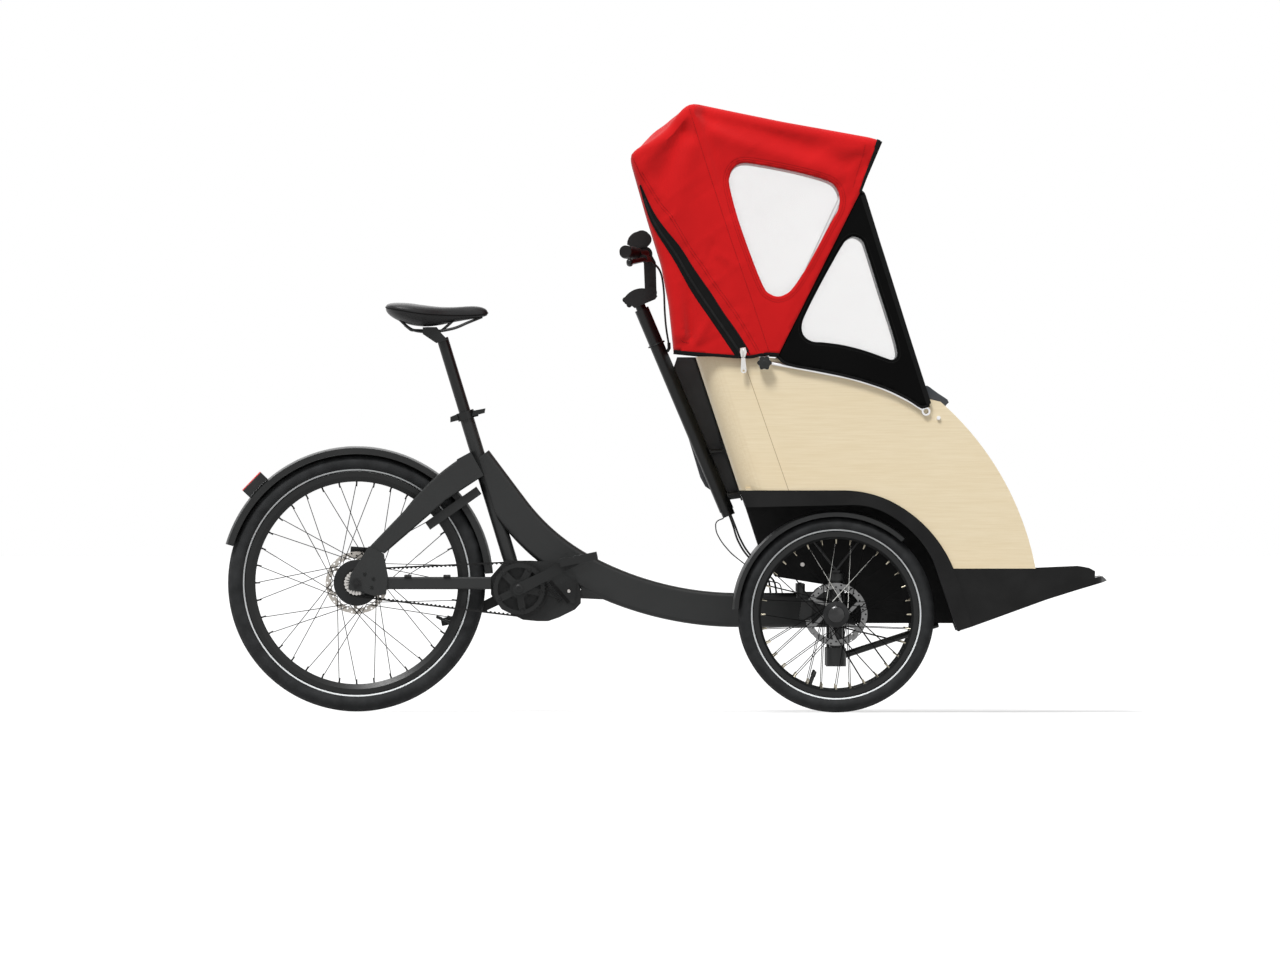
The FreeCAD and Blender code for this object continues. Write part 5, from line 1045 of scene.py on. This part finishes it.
SADDLE_STATIONS = (      # x, half width, top z, edge z, belly z, and dip of the middle channel
    (-717, 34, 1040, 1032, 1026, 0.0), (-708, 58, 1046, 1030, 1014, 1.0), (-690, 74, 1049, 1026, 1002, 3.0),
    (-660, 79, 1049, 1020, 990, 5.0), (-630, 75, 1045, 1016, 985, 6.0), (-600, 60, 1041, 1014, 985, 6.0),
    (-570, 43, 1038, 1013, 990, 5.0), (-540, 32, 1038, 1012, 997, 4.0), (-510, 26, 1040, 1012, 1002, 3.0),
    (-485, 23, 1040, 1013, 1006, 2.0), (-466, 18, 1035, 1015, 1010, 0.5), (-455, 9, 1026, 1018, 1014, 0.0),
)
SADDLE_RAIL = ((-470, 8, 1010), (-505, 14, 996), (-545, 20, 980), (-600, 22, 972), (-648, 24, 977), (-680, 34, 1002))


def make_saddle():
    """Cover over foam on a plastic base: a crowned form with a shallow channel and a stitched edge."""
    vertices = []
    for x, half, top, edge, belly, dip in SADDLE_STATIONS:
        for k in range(9):
            angle = math.pi * k / 8
            y = -half * math.cos(angle)
            lift = math.sin(angle) ** 0.62
            vertices.append((x, y, edge + (top - edge) * lift - dip * bell(y, 0.22 * half + 4)))
        for k in range(1, 6):
            share = k / 6
            drop = math.sin(math.pi * (0.25 + share * 0.5)) ** 0.7
            vertices.append((x, half * (1 - 2 * share) * 0.9, edge + (belly - edge) * drop))
    rings = len(SADDLE_STATIONS)
    faces = sheet_faces(rings, len(vertices) // rings, caps=True)
    saddle = piece("saddle_cover", [(vertices, faces)], LEATHERETTE)
    apply_modifier(saddle, "SUBSURF", levels=2)
    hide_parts("saddle")
    seam, back = [[(row[0], sign * row[1] * 0.985, row[3] + 1.0) for row in SADDLE_STATIONS] for sign in (-1, 1)]
    line = curved(seam + [(-449, 0, 1021)] + back[::-1] + [(-722, 0, 1036)], 6, True)
    spots = [on_surface(saddle, point) for point in line]
    piece("saddle_piping", [tube_mesh(spots + spots[:1], 1.7, sides=7, caps=False)], TAPE)
    rails = [tube_mesh(curved([(x, sign * y, z) for x, y, z in SADDLE_RAIL], 6), 3.6) for _, sign in SIDES]
    piece("saddle_rails", rails, BLACK_ALLOY)


# ---- wheels --------------------------------------------------------------------------------
TREAD_HALF = [(0.0, 0.42), (0.10, 0.66), (0.30, 0.93), (0.48, 1.0), (0.64, 0.95), (0.76, 0.84), (0.85, 0.70),
              (0.93, 0.52), (0.975, 0.34), (0.995, 0.17), (1.0, 0.05)]   # shares of height and half width
TREAD = [(up, -side) for up, side in TREAD_HALF] + TREAD_HALF[::-1]
GROOVE_ROWS = (8, 13)         # of the tread, one each side of the centre rib
LUG_STEPS = 4                 # divisions of the tyre to each lug


def wheel_centre(node):
    low, high = box_mm(node)
    return ((low[0] + high[0]) / 2, (low[2] + high[2]) / 2), (low[1] + high[1]) / 2


def groove(k, up, side, phase):
    """How far a point of the tread lies below the tyre's plain section."""
    left = side < 0
    if up > 0.9 and abs(side) > 0.1:
        lug = 2.0 if phase == (k % 3 + (0 if left else 2)) % LUG_STEPS else 0.0
        return lug + (1.8 if k in GROOVE_ROWS else 0.0)
    return 1.0 if 0.74 < up < 0.9 and phase in ((0, 1) if left else (2, 3)) else 0.0


def make_tyre(name, node, body, rim_r, lugs, stripe_share, finish_name):
    """A tyre with a squared-off patterned tread, moulded to the CAD tyre's own size."""
    low, high = box_mm(node)
    centre, middle = wheel_centre(node)
    half, height = (high[1] - low[1]) / 2, (high[2] - low[2]) / 2 - rim_r
    vertices = []
    steps = lugs * LUG_STEPS
    for index in range(steps):
        angle = 2 * math.pi * index / steps
        for k, (up, side) in enumerate(TREAD):
            radius = rim_r + height * up - groove(k, up, side, index % LUG_STEPS)
            vertices.append((centre[0] + radius * math.cos(angle), middle + side * half,
                             centre[1] + radius * math.sin(angle)))
    mesh = (vertices, sheet_faces(steps, len(TREAD), closed=True))
    tyre = piece(name, [mesh], tyre_finish(finish_name, node, stripe_share), body)
    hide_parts(node)


VALVE = (((1, 5.0), (-3, 5.0), (-4, 3.0), (-26, 3.0)), ((-22, 3.2), (-24, 4.2), (-36, 4.0), (-38, 2.6)))
NIPPLE = ((1.0, 2.6, 0.0), (-3.0, 2.2, 0.8), (-12.0, 1.7, 1.6))    # from the rim, radius, and lean in Y


def make_nipples(name, node, body, count, rim_inner, material, valve_angle):
    """Spoke nipples standing in from the rim, and one valve with its cap."""
    centre, middle = wheel_centre(node)

    def from_rim(degrees, rise, lean=0.0):
        x, z = around(centre, rim_inner + rise, degrees)
        return x, middle + lean, z

    meshes = []
    for index in range(count):
        turn = 1 if index % 2 else -1
        line = [from_rim(index * 360.0 / count, rise, turn * lean) for rise, _, lean in NIPPLE]
        meshes.append(tube_mesh(line, [radius for _, radius, _ in NIPPLE]))
    piece(name, meshes, material, body)
    valve = [tube_mesh([from_rim(valve_angle, rise) for rise, _ in part], [radius for _, radius in part], 10)
             for part in VALVE]
    piece(name + "_valve", valve, PLASTIC, body)


BRIGHT_SPOKES = (70.0, 100.0, 127.0)     # directions of the front spokes in reflective sleeves
BRIGHT_WIDTH = 4.0
BRIGHT_FROM = 60.0                       # radius at which the sleeves begin


def finish_hub(node, rim_node, shell_r, rotor_r, rotor_steel, bright):
    """Black spokes, bare metal rotor and a dark hub shell, told apart by where each face lies."""
    centre, _ = wheel_centre(rim_node)
    mesh = nodes[node].data
    mesh.materials.clear()
    for material in (HUB_BLACK, rotor_steel, SPOKE_BLACK, SPOKE_BRIGHT):
        mesh.materials.append(material)
    rows = []
    for polygon in mesh.polygons:
        x, y, z = polygon.center / MM
        angle = math.degrees(math.atan2(z - centre[1], x - centre[0])) % 360
        rows.append((polygon, math.hypot(x - centre[0], z - centre[1]), y, angle))
    # the rotor is the flat ring that fills its own band of radii at one y
    flat = [y for polygon, radius, y, _ in rows
            if rotor_r - 16 < radius < rotor_r + 0.5 and abs(polygon.normal.y) > 0.99]
    face = sum(flat) / len(flat)
    for polygon, radius, y, angle in rows:
        index = 0
        if shell_r - 26 < radius < rotor_r + 1 and abs(y - face) < 1.3:
            index = 1
        elif radius > shell_r + 1.5:
            near = [goal for goal in bright if abs((angle - goal + 180) % 360 - 180) < BRIGHT_WIDTH]
            index = 3 if near and radius > BRIGHT_FROM else 2
        polygon.material_index = index


def make_wheels():
    make_tyre("rear_tyre_tread", "rear_tyre", "rear_wheel", 285.0, 56, 0.877, "rear_tyre_rubber")
    finish_hub("rear_hub", "rear_rim", 60.0, 80.0, ROTOR_WARM, ())
    make_nipples("rear_nipples", "rear_rim", "rear_wheel", 36, 259.0, BLACK_ALLOY, 337.0)
    for side, sign in SIDES:
        body, rim, hub = ["front_%s_%s" % (part, side) for part in ("wheel", "rim", "hub")]
        make_tyre("front_tyre_tread_" + side, "front_tyre_" + side, body, 211.0, 46, 0.86,
                  "front_tyre_rubber_" + side)
        finish_hub(hub, rim, 34.0, 80.0, ROTOR_STEEL, BRIGHT_SPOKES)
        make_nipples("front_nipples_" + side, rim, body, 32, 192.0, BRASS, 250.0)
        outer = box_mm(hub)[0 if sign < 0 else 1][1]
        profile = ((0.01, 3.0), (9, 2.6), (17, 1.0), (20.5, -1.5), (21.5, -6.0), (21.5, -9.0))
        cap = lathe(wheel_centre(rim)[0], [(r, outer + sign * rise) for r, rise in profile], 36)
        piece("front_hub_cap_" + side, [cap], GLOSS_BLACK, body)


# ---- frame, drive and fittings -------------------------------------------------------------
REAR_AT = (-791.0, 329.5)
CRANK_AT = (-375.0, 314.0)
SPROCKET_R = 32.5             # of the belt's line on the sprocket and on the chainring
CHAINRING_R = 67.5
TOOTH_PITCH = 11.0
MOTOR_FACE = -44.0
SLOT = ((-296, 334), (-248, 279))


def make_bolts():
    """Screw heads on the dropouts, wheel wells and column brackets."""
    black, bright = [], []
    for spot in ((-775, 304), (-752, 318), (-748, 340), (-770, 352)):
        black += [bolt_mesh(spot, sign * 74.0, sign, 4.2, 3.0) for _, sign in SIDES]
    for _, sign in SIDES:
        bright.append(bolt_mesh((349, 377), sign * 222.0, sign, 6.0, 3.2))
        black += [bolt_mesh(spot, sign * 222.0, sign, 6.0, 3.0) for spot in ((300, 440), (520, 440))]
    for x, z in ((153.5, 671.0), (146.5, 692.0)):
        black += [tube_mesh([(x - 4, sign * 16, z), (x - 9, sign * 16, z - 2)], 4.5, 10) for _, sign in SIDES]
    piece("black_screws", black, BLACK_ALLOY)
    piece("bright_screws", bright, STEEL)


def belt_teeth():
    """Teeth on the inner face of the belt's two straight runs."""
    start, end = Vector(REAR_AT), Vector(CRANK_AT)
    line = end - start
    lean = math.acos((SPROCKET_R - CHAINRING_R) / line.length)
    teeth = []
    for turn in (1, -1):
        a = math.atan2(line.y, line.x) + turn * lean
        out = Vector((math.cos(a), math.sin(a)))
        first = start + SPROCKET_R * out
        run = end + CHAINRING_R * out - first
        count, step = round(run.length / TOOTH_PITCH), run.normalized()
        for k in range(1, count):
            root = first + run * (k / count)
            tip = root - out * 2.6
            corners = [root - step * 3.2, root + step * 3.2, tip + step * 2.0, tip - step * 2.0]
            teeth.append(block_mesh([tuple(c) for c in corners], -61.0, -51.0, 0.3))
    return teeth


def make_drive():
    """Belt teeth, ring and crank bolts, the motor's ribs and screw, and its slot as a thin near-black plate of
    painted shade.
    """
    piece("belt_teeth", belt_teeth(), RUBBER)
    ring = [bolt_mesh(around(CRANK_AT, 56.0, 26.5 + 36 + 72 * k), -62.4, -1, 5.0, 2.4) for k in range(5)]
    piece("ring_bolts", ring, BLACK_ALLOY, "crank_set")
    caps = [bolt_mesh(CRANK_AT, sign * 90.0, sign, 11.0, 3.0) for _, sign in SIDES]
    piece("crank_bolts", caps, BLACK_ALLOY, "crank_set")
    start, end = Vector(SLOT[0]), Vector(SLOT[1])
    run = (end - start).normalized()
    side = Vector((-run.y, run.x))
    # The slot is not cut: a thin near-black plate on the motor's face paints the shade of its opening.
    corners = [start + side * 4.5, start - side * 4.5, end - side * 4.5, end + side * 4.5]
    slot = block_mesh([tuple(c) for c in corners], MOTOR_FACE, MOTOR_FACE - 0.7, 0.2)
    piece("motor_slot_painted_shade", [slot], ZIP_COIL)
    ribs = []
    for k in range(13):
        root = start + (end - start) * (k / 12) * 0.78 - side * 4.0
        tip = root - side * 15
        ribs.append(tube_mesh([(p.x, MOTOR_FACE - 0.2, p.y) for p in (root, tip)], 1.5, 6))
    piece("motor_ribs", ribs, MOTOR)
    piece("motor_screw", [bolt_mesh((-248, 308.5), MOTOR_FACE, -1, 4.5, 2.0)], STEEL)


def make_tail_light():
    """Black lamp body with its outer face and chamfer as a red lens."""
    x, z = around((0, 0), 1.0, 136.0)
    mesh = nodes["tail_light"].data
    mesh.materials.append(LENS)
    for polygon in mesh.polygons:
        polygon.material_index = 1 if polygon.normal.dot(Vector((x, 0, z))) > 0.5 else 0


REAR_GUARD = (330.0, 4.5, 163.0)     # inner radius, and the ends in degrees from +X over the top
FRONT_GUARD = (250.0, 48.5, 176.5)


def make_guard_beads():
    """Rolled edges along the lower rims of the mudguards."""
    rows = [("rear_guard_beads", "frame", "rear_mudguard", "rear_rim", REAR_GUARD)]
    for side, _ in SIDES:
        rows.append(("front_guard_beads_" + side, "steer_knuckle_" + side, "front_mudguard_" + side,
                     "front_rim_" + side, FRONT_GUARD))
    for name, body, node, rim_node, (lip, first, last) in rows:
        low, high = box_mm(node)
        arc = arc_points(wheel_centre(rim_node)[0], lip + 0.1, first, last, 90)
        beads = [tube_mesh([(x, y, z) for x, z in arc], 1.3) for y in (low[1] + 1.2, high[1] - 1.2)]
        piece(name, beads, PLASTIC, body)


def finish_sprocket():
    """Bright teeth round a black body."""
    mesh = nodes["rear_sprocket"].data
    centre, _ = wheel_centre("rear_rim")
    mesh.materials.clear()
    for material in (BLACK_ALLOY, STEEL):
        mesh.materials.append(material)
    for polygon in mesh.polygons:
        x, _, z = polygon.center / MM
        polygon.material_index = 1 if math.dist((x, z), centre) > 25.5 else 0


def make_small_parts():
    """Clips and ends for the hoses and guides on the chain stay."""
    top = Vector((-62, 0, 1030))
    axis = (Vector((156, 0, 515)) - top).normalized()
    across = Vector((0, 1, 0))
    ring = []
    for k in range(41):
        angle = 2 * math.pi * k / 40
        ring.append(top + axis * 98.0 + 20.5 * (math.cos(angle) * across + math.sin(angle) * axis.cross(across)))
    clips = [tube_mesh(ring, 2.4, caps=False)]
    for sign in (-1, 1):
        ferrule = [(8, sign * 6, 944), (8.6, sign * 6, 930), (4, sign * 5, 921)]
        clips.append(tube_mesh(ferrule, [4.2, 4.4, 3.6], 10))
        for x in (-660.0, -560.0):
            clips.append(tube_mesh([(x - 9, sign * 67, 346.5), (x + 9, sign * 67, 346.5)], 4.0, 10))
    piece("hose_clips", clips, PLASTIC)


def make_knobs():
    """Six-lobed hood knobs with a screw in each, level with the CAD knobs' ends."""
    profile = [around(HOOD_PIVOT, 17.0 + 2.0 * math.cos(math.radians(36 * k)), 6 * k) for k in range(60)]
    knobs = []
    for _, sign in SIDES:
        y = box_mm("hood_knobs")[0 if sign < 0 else 1][1]
        knobs.append(block_mesh(profile, y - sign * 11.0, y - sign * 0.5, 2.0))
        knobs.append(bolt_mesh(HOOD_PIVOT, y - sign * 1.2, sign, 7.0, 1.2))
    star = piece("star_knobs", knobs, PLASTIC)
    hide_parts("hood_knobs")


# ---- the finishes, and what each slot of the CAD model wears -----------------------------------
PAINT = painted("anthracite_powder_coat", linear(38, 39, 39), 0.4)
BLACK_ALLOY = painted("black_anodised", linear(20, 21, 21), 0.36, 1200.0, 0.00006)
MOTOR = painted("motor_casting", linear(30, 31, 31), 0.5, 700.0, 0.0002)
PLASTIC = moulded("black_plastic", linear(18, 19, 19), 0.46)
GLOSS_BLACK = moulded("gloss_black_cap", linear(10, 11, 12), 0.16, 0.5)
TUB = moulded("black_tub", linear(12, 12, 12), 0.55, 0.15)
CASE = moulded("battery_case", linear(56, 57, 59), 0.5)
LEATHERETTE = moulded("saddle_leatherette", linear(18, 18, 19), 0.42)
STEEL = brushed("ground_steel", (0.52, 0.50, 0.48, 1), 0.32)
ALLOY = brushed("satin_alloy", (0.72, 0.72, 0.73, 1), 0.34)
CHROME = brushed("nickel_plate", (0.66, 0.65, 0.63, 1), 0.2)
ROTOR_STEEL = brushed("rotor_steel", (0.19, 0.19, 0.19, 1), 0.3)
ROTOR_WARM = brushed("rotor_steel_warm", (0.50, 0.47, 0.43, 1), 0.36)
BRASS = brushed("brass_nipples", (0.34, 0.31, 0.24, 1), 0.34)
SPOKE_BRIGHT = brushed("reflective_sleeves", (0.8, 0.8, 0.76, 1), 0.4)
SPOKE_BLACK = painted("black_spokes", linear(6, 6, 6), 0.6, 1200.0, 0.00002, 0.06)
HUB_BLACK = painted("hub_black", linear(18, 19, 20), 0.3, 1200.0, 0.00005)
RUBBER = rubber("black_rubber", linear(18, 18, 18))
PLY = plywood("birch_ply")
RED = woven("red_canvas", linear(196, 19, 21), linear(180, 15, 17))
TAPE = woven("black_webbing", linear(20, 20, 20), linear(13, 13, 13), 0.8, 2400.0, 0.03, 0.08)
ZIP_COIL = rubber("zip_coil", linear(8, 8, 8))
THREAD = woven("red_thread", linear(112, 8, 12), linear(88, 6, 10), 0.8, 4000.0, 0.03)
BLACK_CANVAS = woven("black_canvas", linear(10, 10, 10), linear(7, 7, 7), 0.85, 1500.0, 0.015, 0.04)
UPHOLSTERY = woven("black_upholstery", linear(34, 35, 37), linear(25, 26, 28), 0.9, 1100.0)
FELT = woven("grey_felt", linear(70, 73, 77), linear(46, 49, 53), 0.95, 900.0, 0.3)
FILM = clear_film("clear_film")
LENS = lens_finish("red_lens")

BY_SLOT = {
    "frame_paint": PAINT, "black_alloy": BLACK_ALLOY, "motor_case": MOTOR, "steel": STEEL,
    "alloy": ALLOY, "rim_black": BLACK_ALLOY, "tyre_rubber": RUBBER, "belt_rubber": RUBBER,
    "grip_rubber": RUBBER, "black_plastic": PLASTIC, "tub_black": TUB, "battery_case": CASE,
    "birch_ply": PLY, "canvas_red": RED, "canvas_black": BLACK_CANVAS, "lamp_red": LENS,
    "cushion_cloth": UPHOLSTERY, "pad_grey": FELT, "saddle_cover": PLASTIC, "clear_film": FILM,
}
OWN_FINISH = {"rear_axle": BLACK_ALLOY, "tail_light": PLASTIC}


def finish_cad_nodes():
    for row in frame["record"]["subparts"]:
        mesh = nodes[row["node"]].data
        mesh.materials.clear()
        mesh.materials.append(OWN_FINISH.get(row["node"]) or BY_SLOT[row["material_slot"]])


make_camera()
make_world()
make_floor()
make_suns()
bpy.context.scene.view_settings.view_transform = "Standard"
finish_cad_nodes()
finish_sprocket()
make_hood()
make_hood_trim()
seat_pad = make_seat_pad()
make_back_pad()
make_seat_piping(seat_pad)
make_armrests()
make_saddle()
make_wheels()
make_bolts()
make_drive()
make_tail_light()
make_guard_beads()
make_small_parts()
make_knobs()
